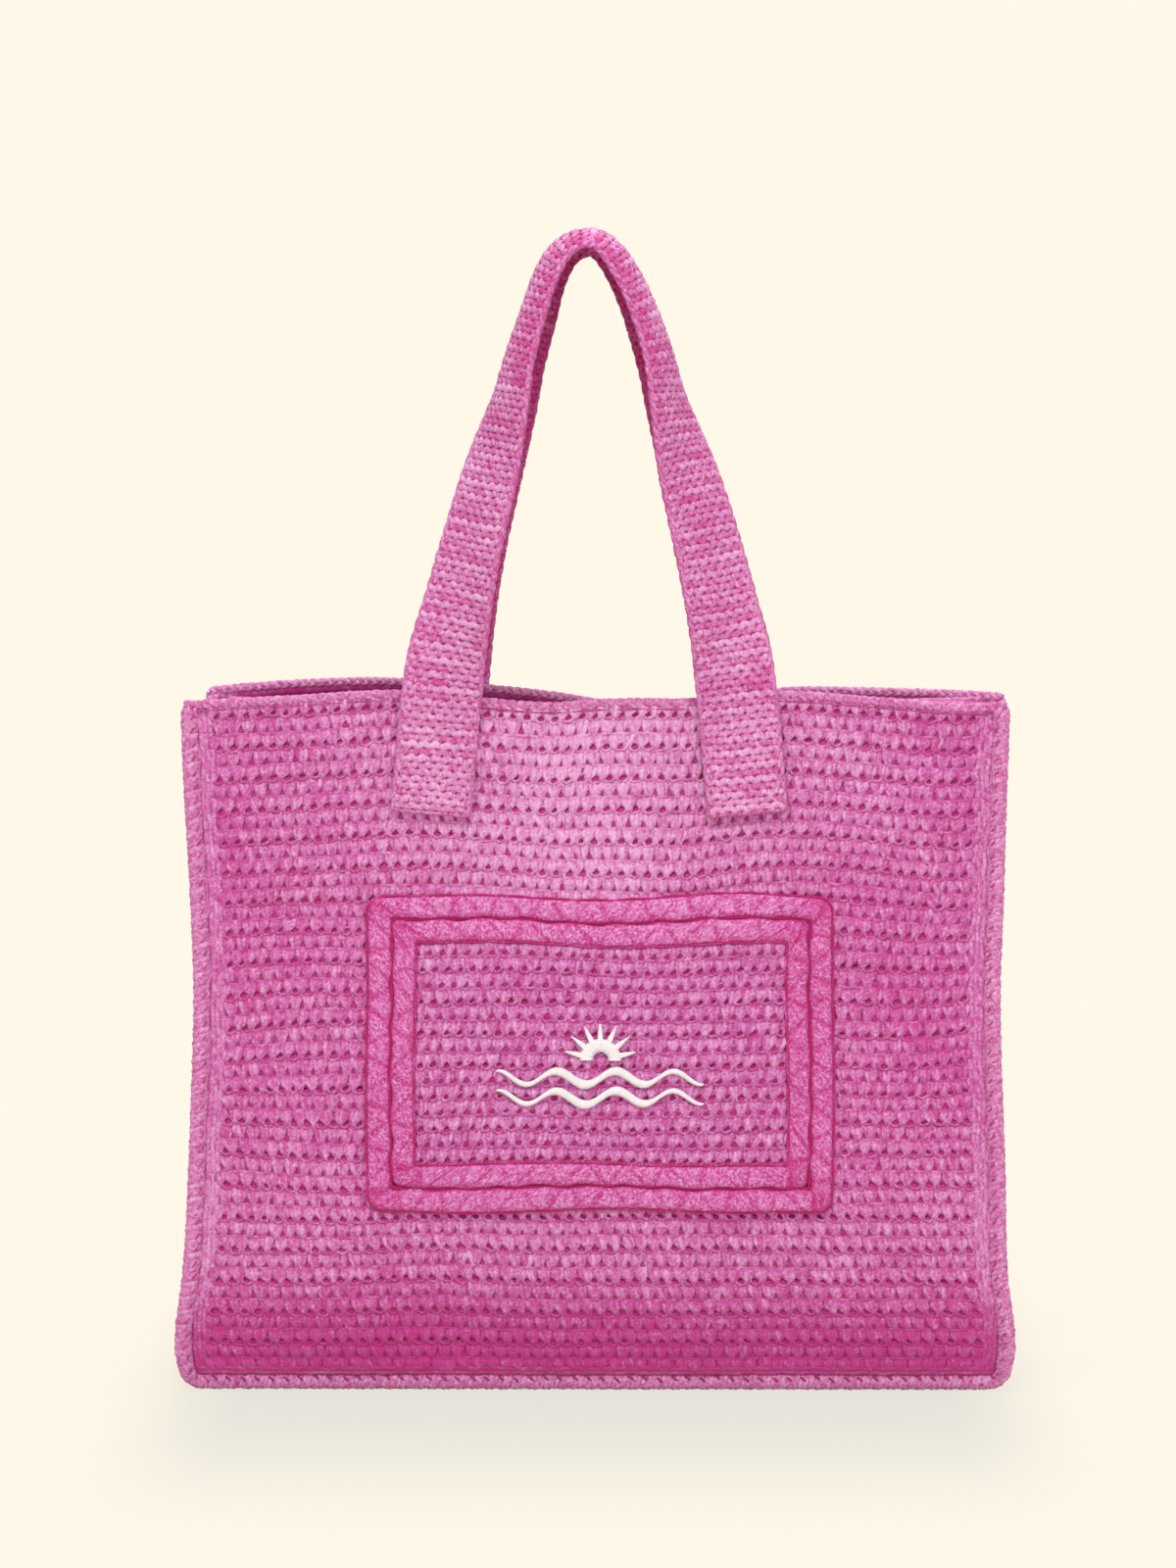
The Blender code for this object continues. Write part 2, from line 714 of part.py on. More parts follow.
def add_motif():
    """A half sun with rays above two waves, in white thread."""
    teeth = 4 * RAYS
    inner, outer = [], []
    for k in range(teeth + 1):
        angle = math.pi * k / teeth
        reach = RAY_RADIUS if k % 4 == 2 else SUN_RADIUS
        outer.append((reach * math.cos(angle), reach * math.sin(angle)))
        inner.append((SUN_HOLLOW * SUN_RADIUS * math.cos(angle), SUN_HOLLOW * SUN_RADIUS * math.sin(angle)))
    add_motif_piece("motif_sun", inner, outer)
    for name, drop in (("motif_upper_wave", UPPER_WAVE_DROP), ("motif_lower_wave", LOWER_WAVE_DROP)):
        low, high = [], []
        steps = 28
        for k in range(steps + 1):
            x = WAVE_SPAN * (k / steps - 0.5)
            taper = math.sin(math.pi * (0.06 + 0.88 * k / steps))
            middle = WAVE_HEIGHT * math.sin(2.0 * math.pi * x / WAVE_LENGTH) - drop
            low.append((x, middle - WAVE_BAND * taper / 2.0))
            high.append((x, middle + WAVE_BAND * taper / 2.0))
        add_motif_piece(name, high, low)


# ---- build ------------------------------------------------------------------------------


def main():
    for old in list(bpy.data.objects):
        bpy.data.objects.remove(old)
    add_panel("front_panel", -1)
    add_panel("rear_panel", 1)
    add_gusset("left_gusset", -1)
    add_gusset("right_gusset", 1)
    add_base("base_panel")
    add_base_joins()
    add_seams("front", -1)
    add_seams("rear", 1)
    add_rim_bindings()
    add_handle("front", -1)
    add_handle("rear", 1)
    add_patch()
    add_motif()


main()
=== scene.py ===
"""Looks for the crocheted beach tote: every panel, seam and strap is made of strands of yarn.

Metres, +Z up, the front faces -Y. The bag's shape is given by the same profiles as its CAD
model, and each strand is a tube laid on that shape.
"""

import math

import bpy
import numpy as np
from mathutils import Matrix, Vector


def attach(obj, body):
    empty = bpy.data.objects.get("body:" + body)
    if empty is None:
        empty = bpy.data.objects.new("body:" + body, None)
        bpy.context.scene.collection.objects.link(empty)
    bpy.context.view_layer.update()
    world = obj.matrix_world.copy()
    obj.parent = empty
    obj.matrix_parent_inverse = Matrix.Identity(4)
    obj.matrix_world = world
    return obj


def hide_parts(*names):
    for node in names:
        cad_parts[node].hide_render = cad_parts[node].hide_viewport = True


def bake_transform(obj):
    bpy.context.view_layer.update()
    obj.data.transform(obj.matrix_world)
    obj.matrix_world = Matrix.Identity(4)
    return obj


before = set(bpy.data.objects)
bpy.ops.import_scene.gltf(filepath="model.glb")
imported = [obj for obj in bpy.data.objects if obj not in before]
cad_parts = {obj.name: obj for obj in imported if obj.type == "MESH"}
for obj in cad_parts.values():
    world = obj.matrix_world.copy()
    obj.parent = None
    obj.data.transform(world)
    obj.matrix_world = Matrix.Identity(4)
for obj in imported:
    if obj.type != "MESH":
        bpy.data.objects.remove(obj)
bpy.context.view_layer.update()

# ---- the bag's dimensions, as in its CAD model

BODY_HEIGHT = 0.3540
FRONT_RIM = (
    (-0.215, 0.0000), (-0.160, 0.0030), (-0.105, 0.0060), (-0.080, 0.0048), (-0.056, 0.0020),
    (-0.024, -0.0004), (-0.003, 0.0010), (0.020, 0.0018), (0.050, 0.0018), (0.094, 0.0058),
    (0.150, 0.0020), (0.190, -0.0008), (0.215, 0.0006),
)
REAR_RIM = (
    (-0.215, 0.0040), (-0.195, 0.0064), (-0.158, 0.0088), (-0.117, 0.0096), (-0.080, 0.0070),
    (-0.045, 0.0042), (-0.020, 0.0010), (0.000, -0.0022), (0.030, -0.0028), (0.050, -0.0020),
    (0.075, 0.0016), (0.100, 0.0048), (0.150, 0.0042), (0.200, 0.0024), (0.215, 0.0010),
)
REAR_LEAN = 0.0055
REAR_NARROWING = 0.018
CLOTH = 0.0024
GAP = 0.0003
SEAM_RADIUS = 0.0046
BINDING_RADIUS = 0.0022
JOIN_RADIUS = 0.0011
CORNER_RADIUS = 0.0126
SEAM_TURN = 0.003
DEPTH_PROFILE = (
    (0.0, 0.0465), (0.018, 0.0560), (0.055, 0.0630), (0.150, 0.0570), (0.260, 0.0390), (0.362, 0.0250),
)
WIDTH_PROFILE = (
    (0.000, 0.2150), (0.028, 0.2150), (0.080, 0.2108), (0.150, 0.2080), (0.205, 0.2070),
    (0.260, 0.2094), (0.320, 0.2130), (0.362, 0.2142),
)
BULGE = 0.006
FOLD_START = 0.070
FOLD_DEPTH = 0.050
FOLD_SOFTNESS = 0.12
HANDLE_X = -0.003
REAR_HANDLE_SHIFT = 0.0015
STRAP_WIDTH = 0.040
STRAP_THICKNESS = 0.0036
TAB_FOOT = 0.2965
HINGE_HEIGHT = 0.342
TAB_OFFSET_FOOT = 0.0036
TAB_OFFSET_HINGE = 0.0045
TAB_FOOT_X = 0.0815
APEX_Y = 0.0190
LEFT_TWIST = (
    (0.00, 0.0), (0.04, 1.5), (0.09, 8.0), (0.17, 23.0), (0.25, 34.0), (0.34, 42.0),
    (0.42, 47.0), (0.53, 59.0), (0.61, 67.0), (0.70, 74.0), (0.80, 79.0), (1.00, 82.0),
)
RIGHT_TWIST = (
    (0.00, 0.0), (0.04, 1.5), (0.09, 9.0), (0.17, 23.0), (0.25, 31.0), (0.34, 37.0),
    (0.42, 44.0), (0.53, 60.0), (0.61, 68.0), (0.70, 74.0), (0.80, 79.0), (1.00, 82.0),
)
CURL = math.radians(42.0)
CURL_SPAN = (0.25, 0.85)
LOOP_PATH = (
    (0.0775, HINGE_HEIGHT), (0.0735, 0.376), (0.0680, 0.4035), (0.0600, 0.438), (0.0500, 0.477),
    (0.0428, 0.506), (0.0370, 0.533), (0.0262, 0.5625), (0.0130, 0.5845), (0.0000, 0.5915),
)
REAR_LOOP_DROP = 0.0035
REAR_LOOP_NARROWING = 0.13
NARROWING_SPAN = (0.50, 0.85)
STITCH_INSET = 0.0030
STITCH_TOP = 0.330
PATCH_X = 0.0028
PATCH_Z = 0.1746
OUTER_TAPE_SIZE = (0.2385, 0.1590)
TAPE_WIDTH = 0.0116
TAPE_CORNER = 0.0075
SMALLEST_CORNER = 0.0015
MOTIF_Z = 0.1718
SUN_RADIUS = 0.0105
SUN_HOLLOW = 0.4
RAY_RADIUS = 0.0190
RAYS = 7
UPPER_WAVE_DROP = 0.0090
LOWER_WAVE_DROP = 0.0190
WAVE_LENGTH = 0.030
WAVE_SPAN = 0.105
WAVE_HEIGHT = 0.0034
WAVE_BAND = 0.0042

# ---- where the looks differ from the CAD model

SIDE_SWELL = 0.0019             # the right side between its foot and its rim
CORNER_SWELL = 0.0014           # both bottom corners
TOP_SPAN = (0.84, 1.0)          # the top of a strap, as shares of its half loop
TOP_FLATTENING = 0.45           # how much of its curl it loses there
TOP_RISE = 0.0018
SHOULDER_SHIFT = 0.0034         # how far its left shoulder stands out

# ---- the crochet and the straps' rows

STITCH = (0.0069, 0.0081)       # width and height of one stitch
YARN = 0.00138                  # radius of one strand
PATCH_OVERLAP = 0.006           # how far the front panel's stitches reach in behind the patch
EDGE_STRIP = 0.0072             # upright strands between the stitches and a side seam
PANEL_COLUMNS, PANEL_ROWS = 57, 43
PINCHED_FOOT, OPEN_FOOT = 0.03, 0.13    # half width of a fan's foot in rows with and without eyelets
FAN_SPREAD = 0.33               # how far a fan's side strands spread, in stitches
EYELET = (0.40, 0.31)           # half width and half height of the loop round an eyelet
EYELET_RISE = 0.29              # of its middle above the foot of its row, in rows
BASE_RISE = 0.0020              # of the base's stitches above the floor
BAR_RADIUS = 0.0033             # of the flat bars that close the cloth behind the stitches
CORD_PITCH = 0.020              # of the bows in the cords round the patch
PAD_PAIR = 0.0225               # length of two pads of a tape
SEAM_WRAP = 0.0021              # radius of a seam's wound strands
SIDE_SEAM_PITCH, BOTTOM_SEAM_PITCH = 0.0072, 0.0074
DASH_LENGTH = 0.0028            # of a seam's stitch holes
STRAP_ROW = 0.0036              # pitch of a strap's rows
STRAP_SCALLOPS = 6.5            # waves in each of them
STRAP_YARN = 0.00205            # radius of their strands
THREAD = 0.00042                # radius of the embroidery and sewing threads
SATIN_PITCH = 0.00058           # of the embroidery
RUNNING_PITCH = 0.0062          # of the stitches that hold the straps
# Painted light and shade along a strap's length: its ends lighter, its legs a little darker.
STRAP_PAINTED_SHADES = (                 # share of a strap's length from its end, shade
    (0.05, 0.05), (0.13, -0.02), (0.22, -0.03), (0.31, -0.03), (0.40, -0.02), (0.50, 0.0),
)


# ---- arithmetic on arrays


def unit(vectors):
    return vectors / np.maximum(1e-12, np.linalg.norm(vectors, axis=-1, keepdims=True))


def xyz(x, y, z):
    return np.stack(np.broadcast_arrays(x, y, z), axis=-1)


def smooth_step(low, high, value):
    t = np.clip((np.asarray(value, float) - low) / (high - low), 0.0, 1.0)
    return t * t * (3.0 - 2.0 * t)


def profile_value(profile, position):
    """Values of a (position, value) profile, with smooth cubic joins."""
    at, value = np.array(profile).T
    after = np.minimum(len(at) - 1, np.arange(len(at)) + 1)
    before = np.maximum(0, np.arange(len(at)) - 1)
    slope = (value[after] - value[before]) / (at[after] - at[before])
    position = np.asarray(position, float)
    i = np.clip(np.searchsorted(at, position, side="left") - 1, 0, len(at) - 2)
    h = at[i + 1] - at[i]
    s = (position - at[i]) / h
    return (
        (2 * s**3 - 3 * s**2 + 1) * value[i]
        + (s**3 - 2 * s**2 + s) * slope[i] * h
        + (3 * s**2 - 2 * s**3) * value[i + 1]
        + (s**3 - s**2) * slope[i + 1] * h
    )


def through_points(points, t):
    """Catmull-Rom curve through points, at each t from 0 to 1."""
    points = np.asarray(points, float)
    points = np.concatenate([[2 * points[0] - points[1]], points, [2 * points[-1] - points[-2]]])
    spans = len(points) - 3
    at = np.clip(np.asarray(t, float) * spans, 0.0, spans - 1e-9)
    i = at.astype(int)
    s = (at - i)[..., None]
    p0, p1, p2, p3 = points[i], points[i + 1], points[i + 2], points[i + 3]
    bend, twist = 2 * p0 - 5 * p1 + 4 * p2 - p3, 3 * p1 - 3 * p2 + p3 - p0
    return 0.5 * (2 * p1 + (p2 - p0) * s + bend * s**2 + twist * s**3)


def ripple(u, v, size, seed):
    """Smooth random waves about 1 high, whose length is about size."""
    rng = np.random.default_rng(seed)
    total = 0.0
    for _ in range(6):
        angle, length = rng.uniform(0, math.pi), size * rng.uniform(0.7, 1.6)
        phase = rng.uniform(0, 2 * math.pi)
        along = u * math.cos(angle) + v * math.sin(angle)
        total = total + np.sin(2 * math.pi * along / length + phase)
    return total / 2.4


def values_at(at, run, values):
    """Rows of values, known at each length in run, interpolated at other lengths."""
    return np.stack([np.interp(at, run, values[:, k]) for k in range(3)], axis=-1)


def even_lengths(points, step):
    """The polyline's points, spaced evenly about a step apart, with the length at each."""
    lengths = np.concatenate([[0.0], np.cumsum(np.linalg.norm(np.diff(points, axis=0), axis=1))])
    count = max(2, int(round(lengths[-1] / step)) + 1)
    at = np.linspace(0.0, lengths[-1], count)
    return values_at(at, lengths, points), at


# ---- the shape of the bag


def seam_half_width(z):
    return profile_value(WIDTH_PROFILE, z) - SEAM_RADIUS


def middle_depth(z):
    return profile_value(DEPTH_PROFILE, z)


def half_depth(x, z):
    share = np.minimum(1.0, np.abs(x) / seam_half_width(z))
    return middle_depth(z) - BULGE * share**2 * np.sin(math.pi * np.minimum(1.0, z / BODY_HEIGHT))


def seam_depth(z):
    return half_depth(seam_half_width(z), z)


def rim_height(x, side):
    return BODY_HEIGHT + profile_value(REAR_RIM if side > 0 else FRONT_RIM, x)


def leaned(x, z, share):
    """x with share of the rear's lean and narrowing, and the swell of the right side and the corners."""
    edge = smooth_step(0.120, 0.205, np.abs(x)) * np.sign(x)
    swell = SIDE_SWELL * smooth_step(0.050, 0.120, z) * smooth_step(0.320, 0.240, z) * (x > 0)
    swell = swell + CORNER_SWELL * smooth_step(0.012, 0.022, z) * smooth_step(0.060, 0.030, z)
    return x + edge * swell + share * (z / BODY_HEIGHT) ** 2 * (REAR_LEAN - REAR_NARROWING * x)


def handle_x(side):
    return HANDLE_X + (REAR_HANDLE_SHIFT if side > 0 else 0.0)


def fold_reach(z):
    t = np.clip((z - FOLD_START) / (BODY_HEIGHT - FOLD_START), 0.0, 1.0)
    return FOLD_DEPTH * np.sin(0.5 * math.pi * t)


def fold_share(y, depth):
    soft = FOLD_SOFTNESS
    edge = math.sqrt(1.0 + soft * soft)
    return (edge - np.sqrt((y / depth) ** 2 + soft * soft)) / (edge - soft)


def slack(x, z, side):
    """How far the cloth stands out of its even shape; it is held at the seams."""
    held = 1.0 - np.minimum(1.0, np.abs(x) / seam_half_width(z)) ** 4
    held = held * smooth_step(0.0, 0.030, z)
    return held * (0.0011 * ripple(x, z, 0.110, 11 + side) + 0.0005 * ripple(x, z, 0.050, 21 + side))


def panel_point(x, z, side):
    y = side * (half_depth(x, z) + slack(x, z, side))
    return xyz(leaned(x, z, 1.0 if side > 0 else 0.0), y, z)


def raised(bare, step=0.05):
    """surface(s, t, out) from bare(s, t): the point out along the s x t direction, and that direction."""

    def surface(s, t, out):
        s, t = np.broadcast_arrays(np.asarray(s, float), np.asarray(t, float))
        along_s, along_t = bare(s + step, t) - bare(s - step, t), bare(s, t + step) - bare(s, t - step)
        outward = unit(np.cross(along_s, along_t))
        return bare(s, t) + outward * np.broadcast_to(out, s.shape)[..., None], outward

    return surface


# ---- strands of yarn


LUMPS = 0.06                    # unevenness of a strand's radius
MIDDLE_SHADE = 0.55


class Yarn:
    """Round strands gathered into one mesh. Each point has a painted shade: 0 in a crevice, 1 on a crest."""

    def __init__(self, seed, sides=5, twist=0.0030, grain=0.09):
        self.sides, self.twist, self.grain = sides, twist, grain
        self.rng = np.random.default_rng(seed)
        self.points, self.shades, self.quads, self.caps = [], [], [], []
        self.quad_uv, self.cap_uv = [], []
        self.count = 0

    def add(self, paths, radius, up, tone=0.07, depth=0.0, flat=1.0, crest=0.20, closed=False):
        """Strands along paths (strand, point, 3), or one strand along a path (point, 3).

        flat squeezes them along up, depth adds to each point's painted shade, and crest paints highlight on
        the side that faces up and shade on the side that faces down.
        """
        paths = np.asarray(paths, float)
        paths = paths.reshape(-1, *paths.shape[-2:])
        strands, length, _ = paths.shape
        k = self.sides
        radius = np.broadcast_to(np.asarray(radius, float), (strands, length))
        depth = np.broadcast_to(np.asarray(depth, float), (strands, length))
        if closed:
            ahead, behind = np.roll(paths, -1, 1), np.roll(paths, 1, 1)
        else:
            ahead = np.concatenate([paths[:, 1:], paths[:, -1:]], 1)
            behind = np.concatenate([paths[:, :1], paths[:, :-1]], 1)
        along = unit(ahead - behind)
        across = unit(np.cross(along, np.broadcast_to(up, paths.shape)))
        lift = np.cross(across, along)
        angle = 2 * math.pi * (np.arange(k) + 0.5) / k
        lumps = self.rng.normal(0.0, LUMPS, (strands, length, k))
        uneven = (radius[..., None] * (1.0 + lumps))[..., None]
        rings = (
            paths[:, :, None, :]
            + uneven * np.cos(angle)[:, None] * across[:, :, None, :]
            + flat * uneven * np.sin(angle)[:, None] * lift[:, :, None, :]
        )
        own = self.rng.normal(0.0, tone, (strands, 1, 1))
        own = own + self.rng.normal(0.0, self.grain, (strands, length, k))
        # Each point's painted shade: the strand's own random tone and grain, its depth, and painted highlight
        # on its up side with painted shade under it.
        shade = MIDDLE_SHADE + own + depth[..., None] + crest * np.sin(angle)
        steps = np.linalg.norm(np.diff(paths, axis=1), axis=2)
        run = np.concatenate([np.zeros((strands, 1)), np.cumsum(steps, 1)], 1) / self.twist
        run = run + self.rng.uniform(0, 1, (strands, 1))
        spans = length if closed else length - 1
        i = np.arange(strands)[:, None, None] * (length * k) + self.count
        j = np.arange(spans)[None, :, None]
        s = np.arange(k)
        here, there = j * k, ((j + 1) % length) * k
        after = (s + 1) % k
        quad = np.broadcast_arrays(i + here + s, i + there + s, i + there + after, i + here + after)
        self.quads.append(np.stack(quad, -1).reshape(-1, 4))
        closing = run[:, -1:] + (run[:, -1:] - run[:, -2:-1])
        run_on = np.concatenate([run[:, 1:], closing], 1)[:, :spans]
        low = np.broadcast_to(run[:, :spans, None], (strands, spans, k))
        high = np.broadcast_to(run_on[:, :, None], (strands, spans, k))
        left, right = np.broadcast_to(s / k, low.shape), np.broadcast_to((s + 1) / k, low.shape)
        corners = ((left, low), (left, high), (right, high), (right, low))
        uv = np.stack([np.stack(corner, -1) for corner in corners], -2)
        self.quad_uv.append(uv.reshape(-1, 2))
        if not closed:
            first = np.arange(strands)[:, None] * (length * k) + self.count + np.arange(k)
            last = first[:, ::-1] + (length - 1) * k
            self.caps.append(np.concatenate([first, last]))
            self.cap_uv.append(np.zeros((2 * strands * k, 2)))
        self.points.append(rings.reshape(-1, 3))
        self.shades.append(shade.reshape(-1))
        self.count += strands * length * k

    def add_band(self, points, shade):
        """A closed ribbon of quads through points (round, across, 3)."""
        rows, columns, _ = points.shape
        i, j = np.arange(rows)[:, None], np.arange(columns - 1)
        near, far = self.count + i * columns + j, self.count + (i + 1) % rows * columns + j
        quad = np.stack([near, far, far + 1, near + 1], -1).reshape(-1, 4)
        self.quads.append(quad)
        self.quad_uv.append(np.zeros((len(quad) * 4, 2)))
        self.points.append(points.reshape(-1, 3))
        self.shades.append((shade + self.rng.normal(0.0, self.grain, shade.shape)).reshape(-1))
        self.count += rows * columns

    def build(self, name, material):
        points, shades = np.concatenate(self.points), np.concatenate(self.shades)
        quads = np.concatenate(self.quads)
        caps = np.concatenate(self.caps) if self.caps else np.zeros((0, self.sides), int)
        corners = np.concatenate([quads.ravel(), caps.ravel()])
        cap_starts = len(quads) * 4 + np.arange(len(caps)) * self.sides
        starts = np.concatenate([np.arange(len(quads)) * 4, cap_starts])
        mesh = bpy.data.meshes.new(name)
        mesh.vertices.add(len(points))
        mesh.vertices.foreach_set("co", points.astype(np.float32).ravel())
        mesh.loops.add(len(corners))
        mesh.loops.foreach_set("vertex_index", corners.astype(np.int32))
        mesh.polygons.add(len(starts))
        mesh.polygons.foreach_set("loop_start", starts.astype(np.int32))
        mesh.update(calc_edges=True)
        mesh.shade_smooth()
        uv = np.concatenate(self.quad_uv + self.cap_uv)
        mesh.uv_layers.new(name="strand").data.foreach_set("uv", uv.astype(np.float32).ravel())
        shade = mesh.attributes.new("shade", "FLOAT", "POINT")
        shade.data.foreach_set("value", shades.astype(np.float32))
        mesh.materials.append(material)
        made = bpy.data.objects.new(name, mesh)
        bpy.context.scene.collection.objects.link(made)
        return made


# ---- materials


def adder(tree):
    """add(kind, inputs) for a node tree; inputs gives sockets a value or the output that feeds them."""

    def add(kind, inputs=None, **settings):
        made = tree.nodes.new("ShaderNode" + kind)
        for key, value in settings.items():
            setattr(made, key, value)
        for socket, value in (inputs or {}).items():
            if isinstance(value, bpy.types.NodeSocket):
                tree.links.new(value, made.inputs[socket])
            else:
                made.inputs[socket].default_value = value
        return made

    return add


def yarn_material(name, deep, middle, light, fluff=(0.87, 0.53, 0.76), fibre=1.0, ply=0.3):
    """Cotton yarn: painted shade with plies, fibre noise and uneven colour picks deep colour in its crevices,
    where shade is painted, and light colour and pale fluff on its crests, where highlight is painted.
    """
    material = bpy.data.materials.new(name)
    material.use_nodes = True
    add = adder(material.node_tree)

    def maths(operation, a, b=None, clamp=False):
        inputs = {0: a} if b is None else {0: a, 1: b}
        return add("Math", inputs, operation=operation, use_clamp=clamp).outputs[0]

    def noise(scale):
        inputs = {"Vector": place, "Scale": scale, "Detail": 2.0}
        return maths("SUBTRACT", add("TexNoise", inputs).outputs["Fac"], 0.5)

    place = add("TexCoord").outputs["Object"]
    shade = add("Attribute", attribute_name="shade").outputs["Fac"]
    strand = add("UVMap", uv_map="strand").outputs["UV"]
    split = add("SeparateXYZ", {0: strand}).outputs
    turn = maths("MULTIPLY", maths("ADD", maths("MULTIPLY", split["X"], 2.0), split["Y"]), 2 * math.pi)
    plies = maths("SINE", turn)
    fine = noise(1500.0)
    level = maths("ADD", shade, maths("MULTIPLY", plies, 0.10 * ply))
    level = maths("ADD", level, maths("MULTIPLY", fine, 0.50 * fibre))
    level = maths("ADD", level, maths("MULTIPLY", noise(760.0), 0.76 * fibre))
    level = maths("ADD", level, maths("MULTIPLY", noise(14.0), 0.08), clamp=True)
    # The ramp turns painted shade into colour: deep for painted crevice shade, light and pale fluff for
    # painted highlight.
    ramp = add("ValToRGB", {"Fac": level})
    ramp.color_ramp.interpolation = "B_SPLINE"
    ramp.color_ramp.elements[0].color = (*deep, 1.0)
    ramp.color_ramp.elements[1].color = (*fluff, 1.0)
    ramp.color_ramp.elements.new(0.40).color = (*middle, 1.0)
    ramp.color_ramp.elements.new(0.68).color = (*light, 1.0)
    height = maths("ADD", maths("MULTIPLY", plies, 0.35 * ply), maths("MULTIPLY", fine, 1.4 * fibre))
    bump = add("Bump", {"Strength": 0.55, "Distance": 0.0003, "Height": height})
    shader = material.node_tree.nodes["Principled BSDF"].inputs
    shader["Roughness"].default_value = 0.75
    shader["Specular IOR Level"].default_value = 0.20
    shader["Sheen Weight"].default_value = 0.12
    shader["Sheen Roughness"].default_value = 0.45
    shader["Sheen Tint"].default_value = (1.0, 0.80, 0.92, 1.0)
    material.node_tree.links.new(ramp.outputs["Color"], shader["Base Color"])
    material.node_tree.links.new(bump.outputs["Normal"], shader["Normal"])
    return material


LOOKS = {
    "body_crochet": yarn_material(
        "body_yarn", (0.60, 0.028, 0.240), (0.50, 0.056, 0.268), (0.70, 0.24, 0.545), fibre=0.88
    ),
    "seam_yarn": yarn_material(
        "seam_yarn", (0.34, 0.012, 0.110), (0.54, 0.085, 0.290), (0.70, 0.25, 0.54)
    ),
    "strap_crochet": yarn_material(
        "strap_yarn", (0.64, 0.020, 0.205), (0.54, 0.070, 0.285), (0.72, 0.27, 0.57)
    ),
    "patch_crochet": yarn_material(
        "patch_yarn", (0.60, 0.020, 0.195), (0.48, 0.050, 0.262), (0.68, 0.235, 0.545), fibre=0.85
    ),
    "tape_braid": yarn_material(
        "tape_yarn", (0.46, 0.005, 0.105), (0.55, 0.055, 0.290), (0.74, 0.26, 0.58), fibre=0.88, ply=0.0
    ),
    "sewing_thread": yarn_material(
        "sewing_thread", (0.40, 0.010, 0.110), (0.55, 0.060, 0.250), (0.70, 0.20, 0.46)
    ),
    "white_embroidery": yarn_material(
        "white_thread", (0.55, 0.42, 0.48), (0.82, 0.76, 0.78), (0.90, 0.87, 0.88),
        fluff=(0.93, 0.91, 0.91), fibre=0.4,
    ),
}


def finish_piece(yarn, name, slot, *nodes, body="bag"):
    """Builds a piece that takes the place of the CAD nodes, in its slot's material."""
    piece = yarn.build(name, LOOKS[slot])
    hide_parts(*nodes)
    if body:
        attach(piece, body)
    return piece


# ---- crochet stitches


def strand_points(control, count):
    """A strand given by its (across, up, out) points, resampled to count points."""
    return through_points(control, np.linspace(0.0, 1.0, count))


def no_added_shade(s, t):
    return 0.0


def alternate_lean(i, j):
    """Two rows lean one way and the next two the other."""
    return np.where(j % 4 < 2, 0.7, -0.7)


SIDE_STRAND = [(0.0, -0.06, -0.30), (0.02, 0.34, 0.30), (0.92, 0.66, 0.44), (1.0, 1.04, -0.20)]
MIDDLE_STRAND = [(0.0, 0.06, -0.10), (0.0, 0.34, 0.52), (0.0, 0.70, 0.56), (0.0, 1.02, -0.10)]


